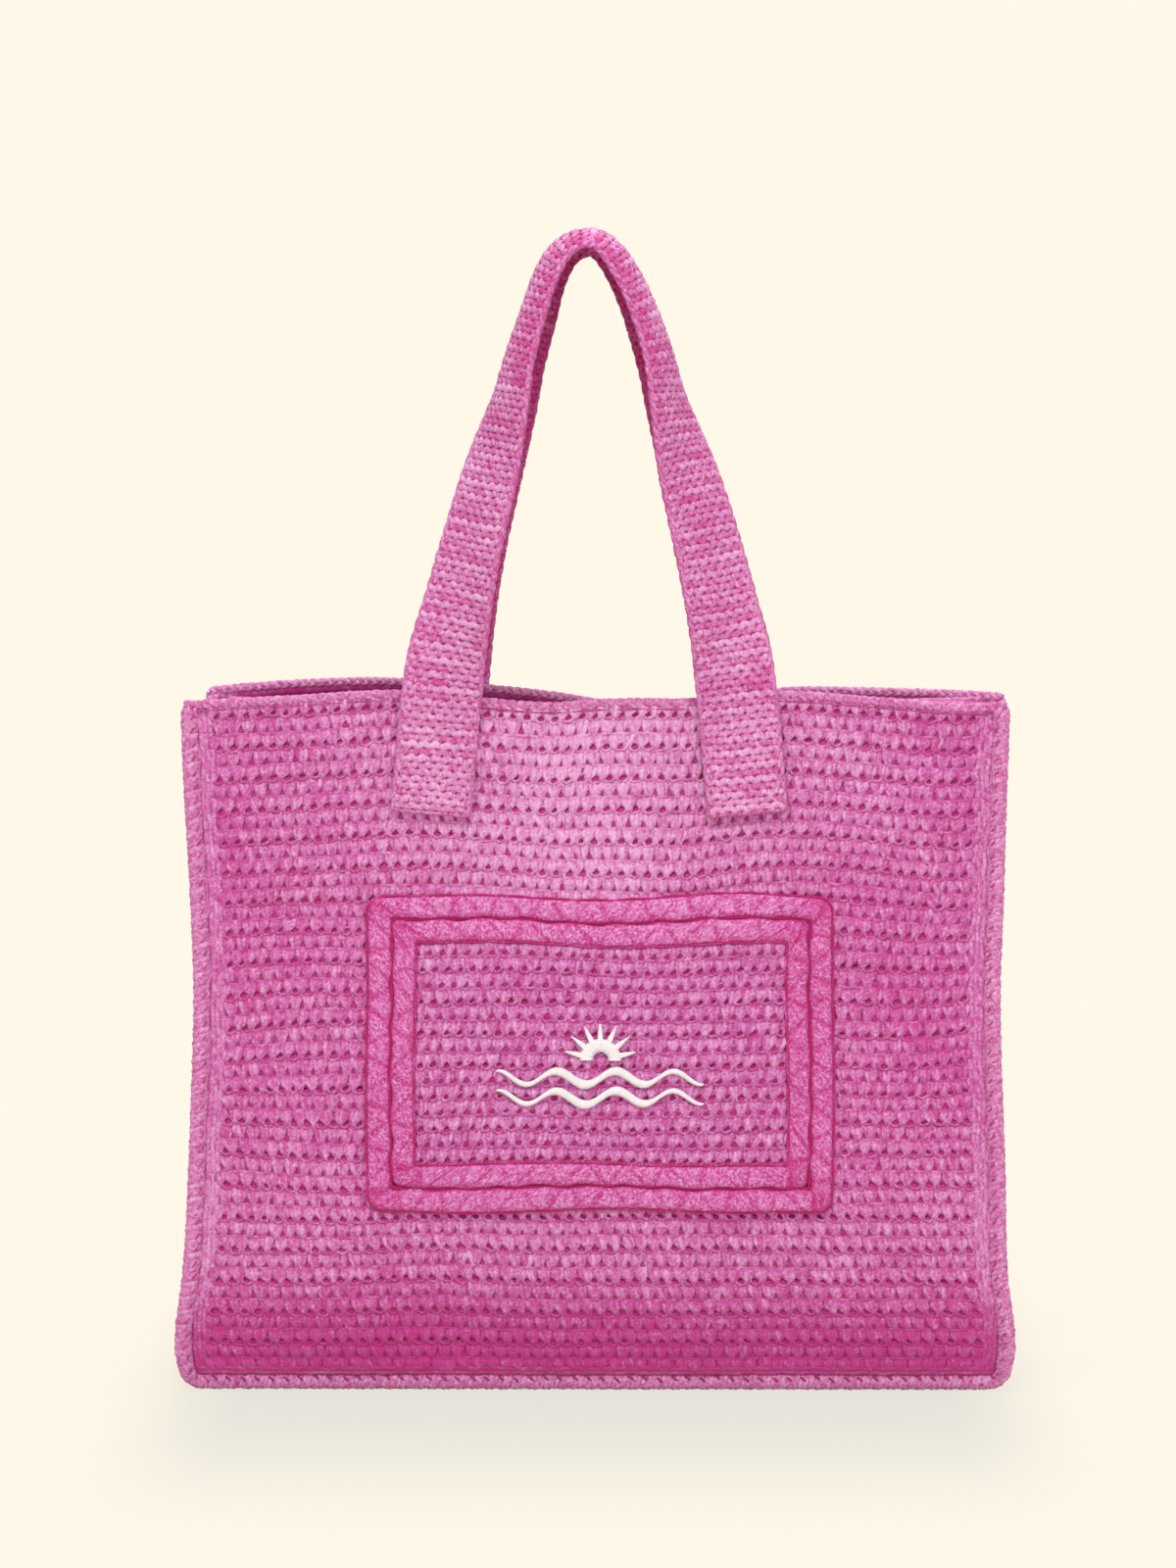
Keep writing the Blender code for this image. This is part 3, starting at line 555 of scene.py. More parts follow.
def crochet(yarns, surface, columns, rows, lean, seed, covered=None, eyelet=1.0, every=2, shade_and_tone=no_added_shade):
    """Crochet on surface(s, t, out), with s in stitches along a row and t in rows.

    Each stitch is a fan of three flat strands. Rows are staggered by half a stitch, a chain runs
    along their feet and bars behind them close the cloth. In one row in every so many, the fans'
    feet are pinched and a loop rounds each eyelet between them. yarns holds what the fans' sides
    go to, what their middles and the loops go to, and what the rest goes to.
    """
    sides, middles, ground = yarns
    rng = np.random.default_rng(seed)

    def jitter(scale):
        return scale * rng.normal(0, 1, i.shape)

    i, j = np.meshgrid(np.arange(columns + 1), np.arange(rows), indexing="ij")
    i, j = i.ravel(), j.ravel()
    inside = (j % 2 == 0) | (i < columns)
    i, j = i[inside], j[inside]
    if covered is not None:
        seen = ~covered(i, j)
        i, j = i[seen], j[seen]
    is_open = (j % every == 0)[:, None]
    i, j = i[:, None], j[:, None]
    middle = np.where(j % 2 == 0, i, i + 0.5)
    centre = middle + jitter(0.035)
    tilt = lean(i, j) * (1.0 + jitter(0.4)) * np.where(is_open, 1.0, 0.3)
    tall = 1.0 + jitter(0.04)
    foot = np.where(is_open, PINCHED_FOOT, OPEN_FOOT)
    for hand in (-1.0, 1.0, 0.0):
        leg = strand_points(SIDE_STRAND if hand else MIDDLE_STRAND, 4)
        spread = FAN_SPREAD + jitter(0.03)
        a = hand * (foot + (spread - foot) * leg[:, 0])
        if not hand:
            a = a + jitter(0.05)
        b = leg[:, 1] * tall
        n = leg[:, 2] + jitter(0.08)
        s = np.clip(centre + a + tilt * 0.26 * (b - 0.45), -0.1, columns + 0.1)
        point, outward = surface(s, j + b, n * YARN)
        girth = YARN * (1.36 + jitter(0.06)) * (0.92 + 0.12 * smooth_step(0.0, 0.6, b))
        # Painted shade: strands that stand further out of the cloth are lighter, sunk ones darker.
        shade = -0.04 + 0.10 * n + shade_and_tone(s, j + b)
        (sides if hand else middles).add(point, girth, outward, flat=0.42, tone=0.035, depth=shade, crest=0.06)
    holes = is_open[:, 0] & (middle[:, 0] < columns - 0.5)
    i, j = middle[holes], j[holes]
    size = eyelet * (1.0 + jitter(0.10))
    turn = np.linspace(0.0, 2 * math.pi, 9)[:-1]
    up = EYELET[1] * size * np.sin(turn)
    s = i + 0.5 + jitter(0.03) + EYELET[0] * size * np.cos(turn) + 0.40 * lean(i, j) * up
    t = j + EYELET_RISE + jitter(0.03) + up
    point, outward = surface(s, t, (0.34 - 0.14 * np.sin(turn)) * YARN)
    # The loops round the eyelets are a little darker.
    shade = shade_and_tone(s, t) - 0.10
    middles.add(point, 0.60 * YARN, outward, flat=0.70, tone=0.04, depth=shade, crest=0.05, closed=True)
    s = np.linspace(0.0, columns, columns * 2 + 1)
    for row in range(rows + 1):
        is_open = row % 2 == 0
        turn = 2 * math.pi * (s + (0.0 if is_open else 0.5))
        t = row + (-0.08 if is_open else 0.06) + 0.05 * np.cos(turn) + 0.02 * ripple(s, s * 0 + row, 3.0, 7)
        point, outward = surface(s, np.clip(t, -0.1, rows), (-0.20 + 0.16 * np.cos(turn)) * YARN)
        radius = YARN * (0.80 if is_open else 1.05)
        # The chain along the feet, low in the cloth, is painted a little darker: painted shade.
        ground.add(point, radius, outward, flat=0.7, depth=-0.12 + shade_and_tone(s, t), tone=0.02, crest=0.10)
    for bar in range(3 * rows // 2 + 1):
        turn = 2 * math.pi * s + bar
        t = np.clip(bar / 1.5 + 0.06 * np.sin(turn) + 0.02 * ripple(s, s * 0 + bar, 3.0, 9), 0.0, rows)
        point, outward = surface(s, t, (-0.44 + 0.08 * np.cos(turn)) * YARN)
        # The bars behind are painted dark where they show through the eyelets: painted shade.
        ground.add(point, BAR_RADIUS, outward, flat=0.22, depth=-0.40, crest=0.0)


def crochet_piece(name, slot, node, bare, columns, rows, lean, seed, **settings):
    """A piece of crochet in one yarn on bare(s, t)."""
    yarn = Yarn(seed=seed)
    crochet([yarn] * 3, raised(bare), columns, rows, lean, seed + 4, **settings)
    finish_piece(yarn, name, slot, node)


def arc_table():
    """Heights up the middle of a panel, and the length up the cloth at each."""
    z = np.linspace(0.0, 0.40, 401)
    rise = np.diff(middle_depth(z))
    return z, np.concatenate([[0.0], np.cumsum(np.sqrt(np.diff(z) ** 2 + rise**2))])


ARC_Z, ARC_LENGTH = arc_table()


def panel_foot():
    return 2.0 * SEAM_RADIUS + 0.0006


def panel_top(x, side):
    return rim_height(x, side) - 2.0 * BINDING_RADIUS + 0.0020


def panel_surface(side, columns, rows):
    """surface(s, t, out) of a panel: s from 0 to columns, and t in rows from the bottom seam to the rim."""
    foot = np.interp(panel_foot(), ARC_Z, ARC_LENGTH)
    half_at_rim = float(seam_half_width(BODY_HEIGHT))

    def bare(s, t):
        share = (2.0 * s / columns - 1.0) * (-side)
        rise = t / rows
        top = np.interp(panel_top(share * half_at_rim, side), ARC_Z, ARC_LENGTH)
        wave = 0.0017 * ripple(share * 0.2, rise * 0.34, 0.120, 31 + side)
        wave = wave * np.sin(math.pi * np.clip(rise, 0, 1))
        z = np.interp(foot + (top - foot) * rise + wave, ARC_LENGTH, ARC_Z)
        corner_clearance = 0.0012 * (1.0 - smooth_step(panel_foot(), panel_foot() + 0.0045, z))
        half = seam_half_width(z) - SEAM_RADIUS - EDGE_STRIP - corner_clearance
        x = share * half + 0.0007 * ripple(share * 0.2, rise * 0.34, 0.045, 41 + side)
        return panel_point(x, z, side)

    return raised(bare)


def foot_shade(t):
    """A panel's shade is painted a little lighter low down and painted deeper in its last rows above the
    bottom seam, where the cloth turns under.
    """
    return 0.07 * smooth_step(18.0, 9.0, t) - 0.31 * smooth_step(8.0, 0.6, t)


def make_panel(name, side):
    surface = panel_surface(side, PANEL_COLUMNS, PANEL_ROWS)
    yarns = [Yarn(seed=7 + side + 100 * layer) for layer in range(3)]
    covered = None
    if side < 0:

        def covered(i, j):
            """The stitches behind the patch are left out."""
            away = np.abs(surface(i + 0.0, j + 0.5, 0.0)[0][:, [0, 2]] - (PATCH_X, PATCH_Z))
            return (away < np.array(OUTER_TAPE_SIZE) / 2.0 - PATCH_OVERLAP).all(axis=1)

    def lean(i, j):
        return np.where(j > 16 + 4 * np.sin(0.35 * i), 0.8, -0.8)

    def shade_and_tone(s, t):
        # A soft pool of light is painted on the upper middle of the panel and the whole panel is a little
        # darker; painted shade low down comes from foot_shade; the ripple is uneven tone at random.
        middle = np.exp(-(((s / PANEL_COLUMNS - 0.5) / 0.28) ** 2))
        painted_light_and_tone = 0.25 * middle * smooth_step(24.0, 36.0, t) - 0.065
        return painted_light_and_tone + foot_shade(t) + 0.025 * ripple(s, t, 14.0, 71 + side)

    crochet(yarns, surface, PANEL_COLUMNS, PANEL_ROWS, lean, 15 + side, covered, shade_and_tone=shade_and_tone)
    s = np.linspace(-1.1, PANEL_COLUMNS + 1.1, 120)
    # Two darker strands along the panel's foot: painted shade where the cloth turns under into the bottom
    # seam.
    for row in (0.02, 0.34):
        out = 0.0004 + 0.0002 * np.cos(2.9 * s)
        point, outward = surface(s, row + 0.03 * np.cos(2.2 * s + 9.0 * row), out)
        yarns[2].add(point, 0.0018, outward, flat=0.60, depth=-0.27, crest=0.06)
    # The upright strands by the side seams take the same painted shade low down.
    t = np.linspace(0.0, PANEL_ROWS, 150)
    for hand in (-1, 1):
        for k in range(4):
            reach = (0.42 + 1.0 * k) * EDGE_STRIP / 3.0 / STITCH[0]
            s = (PANEL_COLUMNS + reach if hand > 0 else -reach) + 0.03 * np.sin(t * math.pi + 2.0 * k)
            out = -0.0002 - 0.0006 * (k == 3) + 0.0003 * np.cos(t * math.pi + 2.0 * k)
            point, outward = surface(s, t, out)
            yarns[2].add(point, 0.0019, outward, flat=0.62, crest=0.06, tone=0.02, depth=foot_shade(t))
    for yarn, layer in zip(yarns, ("fans", "loops", "ground")):
        finish_piece(yarn, f"{name}_{layer}", "body_crochet", name)


def make_gusset(name, hand):
    columns, rows = 16, 43
    margin = SEAM_RADIUS + 0.0004
    low, arc = CLOTH / 2.0, CORNER_RADIUS - CLOTH / 2.0
    turn_length = 0.5 * math.pi * arc
    total = turn_length + BODY_HEIGHT - 2.0 * BINDING_RADIUS - CORNER_RADIUS

    def bare(s, t):
        run = total * t / rows
        angle = np.clip(run / turn_length, -0.05, 1.0) * 0.5 * math.pi
        z = np.where(run < turn_length, low + arc * (1.0 - np.cos(angle)), CORNER_RADIUS + run - turn_length)
        bend = seam_half_width(CORNER_RADIUS) - arc * (1.0 - np.sin(angle))
        side = np.where(run < turn_length, bend, seam_half_width(z))
        depth = seam_depth(z)
        across = (2.0 * s / columns - 1.0) * hand
        y = across * (depth - margin)
        slackness = 0.0010 * ripple(y, z, 0.07, 51 + hand) * (1.0 - across**2)
        inward = fold_reach(z) * fold_share(y, depth) + slackness
        return xyz(leaned(hand * (side - inward), z, (across + 1.0) / 2.0), y, z)

    crochet_piece(name + "_crochet", "body_crochet", name, bare, columns, rows, alternate_lean, 61 + hand)


def make_base():
    columns, rows = 56, 11
    flat_end = float(seam_half_width(CORNER_RADIUS)) - (CORNER_RADIUS - CLOTH / 2.0)
    half_length = flat_end - 2.0 * (JOIN_RADIUS + GAP)
    half_width = float(seam_depth(0.0)) - SEAM_RADIUS - GAP

    def bare(s, t):
        return xyz(-half_length * (2.0 * s / columns - 1.0), half_width * (2.0 * t / rows - 1.0), BASE_RISE)

    crochet_piece("base_crochet", "body_crochet", "base_panel", bare, columns, rows, alternate_lean, 71)


# ---- seams and bindings


def frames_along(points, reference):
    """Along, sideways and up directions at each point of a path; up is near the reference."""
    along = unit(np.gradient(points, axis=0))
    sideways = unit(np.cross(along, np.broadcast_to(reference, points.shape)))
    return along, sideways, np.cross(sideways, along)


def wrap_path(yarn, path, reference, radius, wrap, pitch, hand, marks=None):
    """Whip stitches: three flat strands wound side by side round a path in every pitch, over a core.

    marks is (angle, slant, radius, depth): where round the seam its stitch holes show, as short dark dashes of
    painted shade.
    """
    points, run = even_lengths(path, pitch / 14.0)
    _, sideways, up = frames_along(points, reference)
    for k in range(3):
        turn = hand * 2 * math.pi * (run / pitch + k / 3.0) + 0.15 * ripple(run, run * 0, 0.02, 3 + k)
        reach = radius - 0.5 * wrap - 0.0003 * (k == 2)
        reach = reach * (1.0 + 0.03 * ripple(run, run * 0, 0.013, 13 + k))
        outward = np.cos(turn)[:, None] * up + np.sin(turn)[:, None] * sideways
        strand = points + outward * reach[:, None]
        yarn.add(strand, wrap, outward, flat=0.50, tone=0.03, crest=0.08)
    # The core, seen between the wraps, is painted a little darker: painted shade.
    core, _ = even_lengths(path, 0.004)
    yarn.add(core, radius - 0.5 * wrap, frames_along(core, reference)[2], depth=-0.10, crest=0.0)
    if marks:
        angle, slant, mark_radius, mark_depth = marks
        count = int(run[-1] / pitch)
        rng = np.random.default_rng(int(run[-1] * 1e6) % 9973)
        share = np.linspace(-1.0, 1.0, 5)
        at = (np.arange(count)[:, None] + 0.5 + 0.05 * rng.normal(0, 1, (count, 1))) * pitch
        at = at + DASH_LENGTH / 2.0 * share
        turn = angle + slant * 0.27 * share + 0.08 * rng.normal(0, 1, (count, 1))
        outward = np.cos(turn)[..., None] * values_at(at, run, up)
        outward = outward + np.sin(turn)[..., None] * values_at(at, run, sideways)
        point = values_at(at, run, points) + outward * radius
        yarn.add(point, mark_radius * (1.0 - 0.5 * share**2), outward, depth=mark_depth, crest=0.0, tone=0.03)


def side_seam_path(side, hand):
    top = float(rim_height(hand * seam_half_width(BODY_HEIGHT), side)) - 2.0 * BINDING_RADIUS
    corner = CORNER_RADIUS - SEAM_RADIUS
    rear = 1.0 if side > 0 else 0.0
    z = np.linspace(top, CORNER_RADIUS, 80)
    straight = xyz(leaned(hand * seam_half_width(z), z, rear), side * seam_depth(z), z)
    angle = np.linspace(0.0, 0.5 * math.pi, 12)[1:]
    z = CORNER_RADIUS - corner * np.sin(angle)
    x = seam_half_width(CORNER_RADIUS) - corner * (1.0 - np.cos(angle))
    bend = xyz(hand * x, side * seam_depth(z), z)
    end = bend[-1:] - np.array([[hand * SEAM_TURN, 0.0, 0.0]])
    return np.concatenate([straight, bend, end])


def make_seams(word, side):
    reference = (0.0, side, 0.0)
    for hand, hand_word in ((-1, "left"), (1, "right")):
        yarn = Yarn(sides=6, seed=81 + hand + side)
        marks = (-0.50 * hand * side, 1.0, 0.00045, -0.30)
        path = side_seam_path(side, hand)
        wrap_path(yarn, path, reference, SEAM_RADIUS, SEAM_WRAP, SIDE_SEAM_PITCH, 1, marks)
        name = f"{word}_{hand_word}_seam"
        finish_piece(yarn, name + "_stitches", "seam_yarn", name)
    reach = float(seam_half_width(CORNER_RADIUS)) - (CORNER_RADIUS - SEAM_RADIUS) - SEAM_TURN
    x = np.linspace(-reach, reach, 60)
    path = xyz(x, side * half_depth(x, SEAM_RADIUS + 0 * x), SEAM_RADIUS)
    yarn = Yarn(sides=6, seed=91 + side)
    marks = (0.42 * side, -1.0 * side, 0.00062, -0.62)
    wrap_path(yarn, path, reference, SEAM_RADIUS, SEAM_WRAP, BOTTOM_SEAM_PITCH, -1, marks)
    finish_piece(yarn, f"{word}_bottom_seam_stitches", "seam_yarn", f"{word}_bottom_seam")


def braid(yarn, path, reference, depth=0.0):
    """Three strands plaited along a path."""
    wide, high, yarn_radius, pitch = 0.0010, 0.0006, 0.0017, 0.0140
    points, run = even_lengths(path, pitch / 12.0)
    _, sideways, up = frames_along(points, reference)
    for k in range(3):
        turn = 2 * math.pi * (run / pitch + k / 3.0)
        strand = points + (wide * np.sin(turn))[:, None] * sideways + (high * np.sin(2 * turn))[:, None] * up
        yarn.add(strand, yarn_radius, up, tone=0.03, depth=depth, crest=0.06)


def make_bindings():
    reach = float(seam_half_width(BODY_HEIGHT)) + BINDING_RADIUS
    for word, side in (("front", -1), ("rear", 1)):
        x = np.linspace(-reach, reach, 160)
        z = rim_height(x, side) - BINDING_RADIUS
        yarn = Yarn(seed=101 + side)
        # The rear edging is painted lighter: painted light where it lies in shade behind the mouth.
        braid(yarn, panel_point(x, z, side), (0.0, side, 0.0), 0.0 if side < 0 else 0.18)
        # A thin dark cord under each edging stands for the shade in its groove: painted shade.
        groove = panel_point(x, z - 0.0030, side) + np.array([0.0, side * 0.0013, 0.0])
        radius = 0.0005 + 0.0003 * ripple(x, 0 * x, 0.012, 33)
        yarn.add(groove, radius, (0.0, side, 0.0), depth=-0.22, crest=0.0)
        finish_piece(yarn, f"{word}_rim_edging", "seam_yarn", f"{word}_rim_binding")
    z = BODY_HEIGHT - BINDING_RADIUS
    margin = 2.0 * BINDING_RADIUS
    depth = float(seam_depth(z))
    for word, hand in (("left", -1), ("right", 1)):
        y = np.linspace(-1.0, 1.0, 90) * (depth - margin)
        inward = fold_reach(z) * fold_share(y, depth)
        path = xyz(leaned(hand * (seam_half_width(z) - inward), z, (y / depth + 1.0) / 2.0), y, z)
        yarn = Yarn(seed=111 + hand)
        braid(yarn, path, (0.0, 0.0, 1.0))
        finish_piece(yarn, f"{word}_rim_edging", "seam_yarn", f"{word}_rim_binding")


def make_base_joins():
    at = float(seam_half_width(CORNER_RADIUS)) - (CORNER_RADIUS - CLOTH / 2.0) - JOIN_RADIUS - GAP
    reach = float(seam_depth(0.0)) - SEAM_RADIUS - 2.0 * GAP
    for word, hand in (("left", -1), ("right", 1)):
        y = np.linspace(-reach, reach, 40)
        path = xyz(hand * at, y, CLOTH / 2.0)
        yarn = Yarn(seed=121 + hand)
        wrap_path(yarn, path, (0.0, 0.0, 1.0), radius=0.0019, wrap=0.0013, pitch=0.0044, hand=1)
        finish_piece(yarn, f"{word}_base_join_stitches", "seam_yarn", f"{word}_base_join")


# ---- straps


def hinge_y():
    return float(middle_depth(HINGE_HEIGHT)) + TAB_OFFSET_HINGE + STRAP_THICKNESS / 2.0 + GAP


def tab_line(side, hand):
    """Middle line of a strap's sewn end from its foot up to the hinge, with its outward direction."""
    z = np.linspace(TAB_FOOT, HINGE_HEIGHT, 40)
    t = (z - TAB_FOOT) / (HINGE_HEIGHT - TAB_FOOT)
    x = handle_x(side) + hand * (TAB_FOOT_X + (LOOP_PATH[0][0] - TAB_FOOT_X) * t)
    offset = TAB_OFFSET_FOOT + (TAB_OFFSET_HINGE - TAB_OFFSET_FOOT) * t
    return xyz(x, side * (half_depth(x, z) + offset), z)


class Strap:
    """One strap from its left foot over the loop to its right foot, as a band that can turn and curl."""

    def __init__(self, side):
        self.side = side
        t = np.linspace(0.0, 1.0, 700)
        left = [(-across, z) for across, z in LOOP_PATH]
        right = [(across, z) for across, z in reversed(LOOP_PATH[:-1])]
        flat = through_points(left + right, t)
        across, z = flat[:, 0], flat[:, 1]
        rise = (z - HINGE_HEIGHT) / (LOOP_PATH[-1][1] - HINGE_HEIGHT)
        if side > 0:
            across = across * (1.0 - REAR_LOOP_NARROWING * smooth_step(*NARROWING_SPAN, rise))
            z = z - REAR_LOOP_DROP * rise
        foot_y = hinge_y() - GAP - STRAP_THICKNESS / 2.0
        y = foot_y + (APEX_Y - foot_y) * smooth_step(0.0, 1.0, rise)
        loop = xyz(handle_x(side) + (HANDLE_X - handle_x(side)) * rise + across, side * y, z)
        up, down = tab_line(side, -1), tab_line(side, 1)[::-1]
        line = np.concatenate([up[:-1], loop, down[1:]])
        share = np.concatenate([np.zeros(len(up) - 1), 1.0 - np.abs(2.0 * t - 1.0), np.zeros(len(down) - 1)])
        self.line, self.run = even_lengths(line, 0.0008)
        lengths = np.concatenate([[0.0], np.cumsum(np.linalg.norm(np.diff(line, axis=0), axis=1))])
        share = np.interp(self.run, lengths, share)
        self.length = self.run[-1]
        left_half = self.run < self.length / 2.0
        top = smooth_step(*TOP_SPAN, share)
        shoulder = smooth_step(0.72, 0.88, share) * smooth_step(1.0, 0.91, share) * left_half
        self.line = self.line + np.array([0.0, 0.0, TOP_RISE]) * top[:, None]
        self.line = self.line - np.array([SHOULDER_SHIFT, 0.0, 0.0]) * shoulder[:, None]
        self.line = self.softened(self.line, 5)
        along = unit(np.gradient(self.line, axis=0))
        front = np.array([0.0, side, 0.0])
        outward = unit(xyz(-along[:, 2], 0.0, along[:, 0]))
        turn = np.where(left_half, profile_value(LEFT_TWIST, share), profile_value(RIGHT_TWIST, share))
        turn = np.radians(turn)
        self.curl = np.maximum(0.01, CURL * smooth_step(*CURL_SPAN, share) * (1.0 - TOP_FLATTENING * top))
        face = front * np.cos(turn)[:, None] + outward * np.sin(turn)[:, None]
        self.face = unit(face - along * (face * along).sum(1)[:, None])
        self.across = np.cross(along, self.face)

    @staticmethod
    def softened(values, passes):
        for _ in range(passes):
            middle = (values[:-2] + 2 * values[1:-1] + values[2:]) / 4.0
            values = np.concatenate([values[:1], middle, values[-1:]])
        return values

    def at(self, run, share, out):
        """Points at a length along the strap, share from -1 to 1 across it, and out from its middle."""
        middle = values_at(run, self.run, self.line)
        across, face = unit(values_at(run, self.run, self.across)), unit(values_at(run, self.run, self.face))
        curl = np.interp(run, self.run, self.curl)
        bend = STRAP_WIDTH / 2.0 / curl
        crown = bend * (1.0 - np.cos(curl)) / 2.0
        angle = curl * share
        sideways = (bend + np.asarray(out)) * np.sin(angle)
        height = (bend + np.asarray(out)) * np.cos(angle) - bend + crown
        point = middle + across * sideways[..., None] + face * height[..., None]
        outward = across * np.sin(angle)[..., None] + face * np.cos(angle)[..., None]
        return point, outward


def make_strap(word, side):
    """A strap of dense rows of yarn that wave across its width, on both faces, with corded edges."""
    strap = Strap(side)
    rows = int(round(strap.length / STRAP_ROW))
    yarn = Yarn(seed=131 + side)
    rng = np.random.default_rng(135 + side)
    row = np.arange(1, rows)[:, None]
    share = np.linspace(-0.95, 0.95, 40)
    from_end = np.minimum(row, rows - row) / rows
    # Painted light and shade along the strap, from its table.
    tone = np.interp(from_end, *zip(*STRAP_PAINTED_SHADES))
    # Painted shade: high on the loop the face is darker towards its inner edge, where the curl turns it into
    # shade.
    inner_edge = smooth_step(0.27, 0.42, from_end) * smooth_step(0.2, 0.9, share)
    along, over = row * STRAP_ROW, share * STRAP_WIDTH / 2.0
    uneven = smooth_step(-0.7, 0.7, ripple(over, along, 0.016, 139 + side))
    for face in (1.0, -1.0):
        phase = math.pi * (share * STRAP_SCALLOPS + row) + 0.5 * rng.normal(0, 1, row.shape)
        arcs = 0.46 * np.cos(phase) + 0.10 * np.cos(2.0 * phase)
        at = row + 0.42 * arcs + 0.10 * ripple(over, along, 0.05, 137 + side)
        raised_row = np.where(row % 2 == 0, 1.0, -1.0)
        out = 0.00112 + 0.00013 * np.cos(phase + 1.3) + 0.00014 * raised_row
        out = out + 0.00005 * rng.normal(0, 1, at.shape)
        point, outward = strap.at(at / rows * strap.length, share + 0.0 * row, face * out)
        # Rows that stand out are painted lighter and sunk rows darker, painted highlight and shade, stronger
        # in random patches, with a little uneven tone; the underside is painted darker still, painted shade.
        shade_and_dye = 0.11 * raised_row * uneven + 0.03 * np.sin(phase) + 0.04 * ripple(over, along, 0.03, 149)
        depth = shade_and_dye + (tone - 0.20 * inner_edge if face > 0 else -0.34)
        radius = STRAP_YARN * (1.0 + 0.08 * np.cos(phase + 0.8))
        yarn.add(point, radius, face * outward, flat=0.44, tone=0.04, depth=depth, crest=0.10)
        run = np.linspace(0.0015, strap.length - 0.0015, rows)
        # Flat dark lanes under the rows show through between them: painted shade.
        for lane in np.linspace(-0.84, 0.84, 7):
            point, outward = strap.at(run, lane + 0.0 * run, face * 0.00060 + 0.0 * run)
            yarn.add(point, 0.0034, face * outward, flat=0.16, depth=-0.44, crest=0.0)
    run = np.linspace(0.0008, strap.length - 0.0008, rows * 2)
    for edge in (-1.0, 1.0):
        for phase in (0.0, math.pi):
            turn = run / 0.0072 * math.pi + phase
            point, outward = strap.at(run, edge * (0.965 + 0.02 * np.cos(turn)), 0.0007 * np.sin(turn))
            yarn.add(point, 0.00145, outward, crest=0.06, depth=-0.03, tone=0.02)
    for end in (0.0012, strap.length - 0.0012):
        for face in (1.0, -1.0):
            out = face * (0.0007 + 0.0002 * np.cos(28.0 * share))
            point, outward = strap.at(end + 0.0 * share, share, out)
            yarn.add(point, 0.00130, outward, crest=0.0, depth=-0.10)
    handle = f"{word}_handle"
    piece = finish_piece(
        yarn, f"{word}_strap", "strap_crochet", handle, handle + "_left_end", handle + "_right_end", body=None
    )
    at = (handle_x(side), side * hinge_y())
    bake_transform(piece)
    return strap


# ---- the framed patch and the thread

front_face = raised(lambda x, z: panel_point(x, z, -1), 5e-4)


def sewn(x, z, out):
    """Where a point of the patch sits on the front panel: its tapes are sewn on a little unevenly."""
    away_x, away_z = 0.0007 * ripple(x, z, 0.09, 27), 0.0010 * ripple(x, z, 0.10, 29)
    return front_face(PATCH_X + x + away_x, PATCH_Z + z + away_z, out)


def rounded_ring(width, height, radius):
    """Points round a rectangle with rounded corners, counter-clockwise from its lower right."""
    points = []
    for k, outward in enumerate(np.array([(1.0, 0.0), (0.0, 1.0), (-1.0, 0.0), (0.0, -1.0)])):
        reach, spare, steps = (width, height, 170) if k % 2 == 0 else (height, width, 260)
        along = np.array([-outward[1], outward[0]])
        half = spare / 2.0 - radius
        for t in np.linspace(-half, half, steps, endpoint=False):
            points.append(outward * reach / 2.0 + along * t)
        centre = outward * (reach / 2.0 - radius) + along * half
        for angle in np.linspace(0.0, 0.5 * math.pi, 10, endpoint=False):
            points.append(centre + radius * (outward * math.cos(angle) + along * math.sin(angle)))
    return np.array(points)


def run_round(ring):
    """Length round a closed ring at each of its points, and in all."""
    steps = np.linalg.norm(np.roll(ring, -1, 0) - ring, axis=1)
    return np.concatenate([[0.0], np.cumsum(steps)[:-1]]), steps.sum()


def cord(yarn, ring, radius, out, depth, bow=0.0):
    """A cord laid round the patch; it bows outward in every pitch."""
    run, total = run_round(ring)
    arcs = np.abs(np.sin(math.pi * run / total * round(total / CORD_PITCH)))
    outward = unit(np.roll(ring, 1, 0) - np.roll(ring, -1, 0))[:, ::-1] * np.array([-1.0, 1.0])
    ring = ring + outward * (bow * arcs)[:, None]
    point, face = sewn(ring[:, 0], ring[:, 1], out - 0.0006 * (1.0 - arcs) ** 4)
    depth = depth + 0.12 * ripple(run, 0 * run, 0.02, 5)
    yarn.add(point, radius, face, depth=depth, crest=0.05, closed=True)


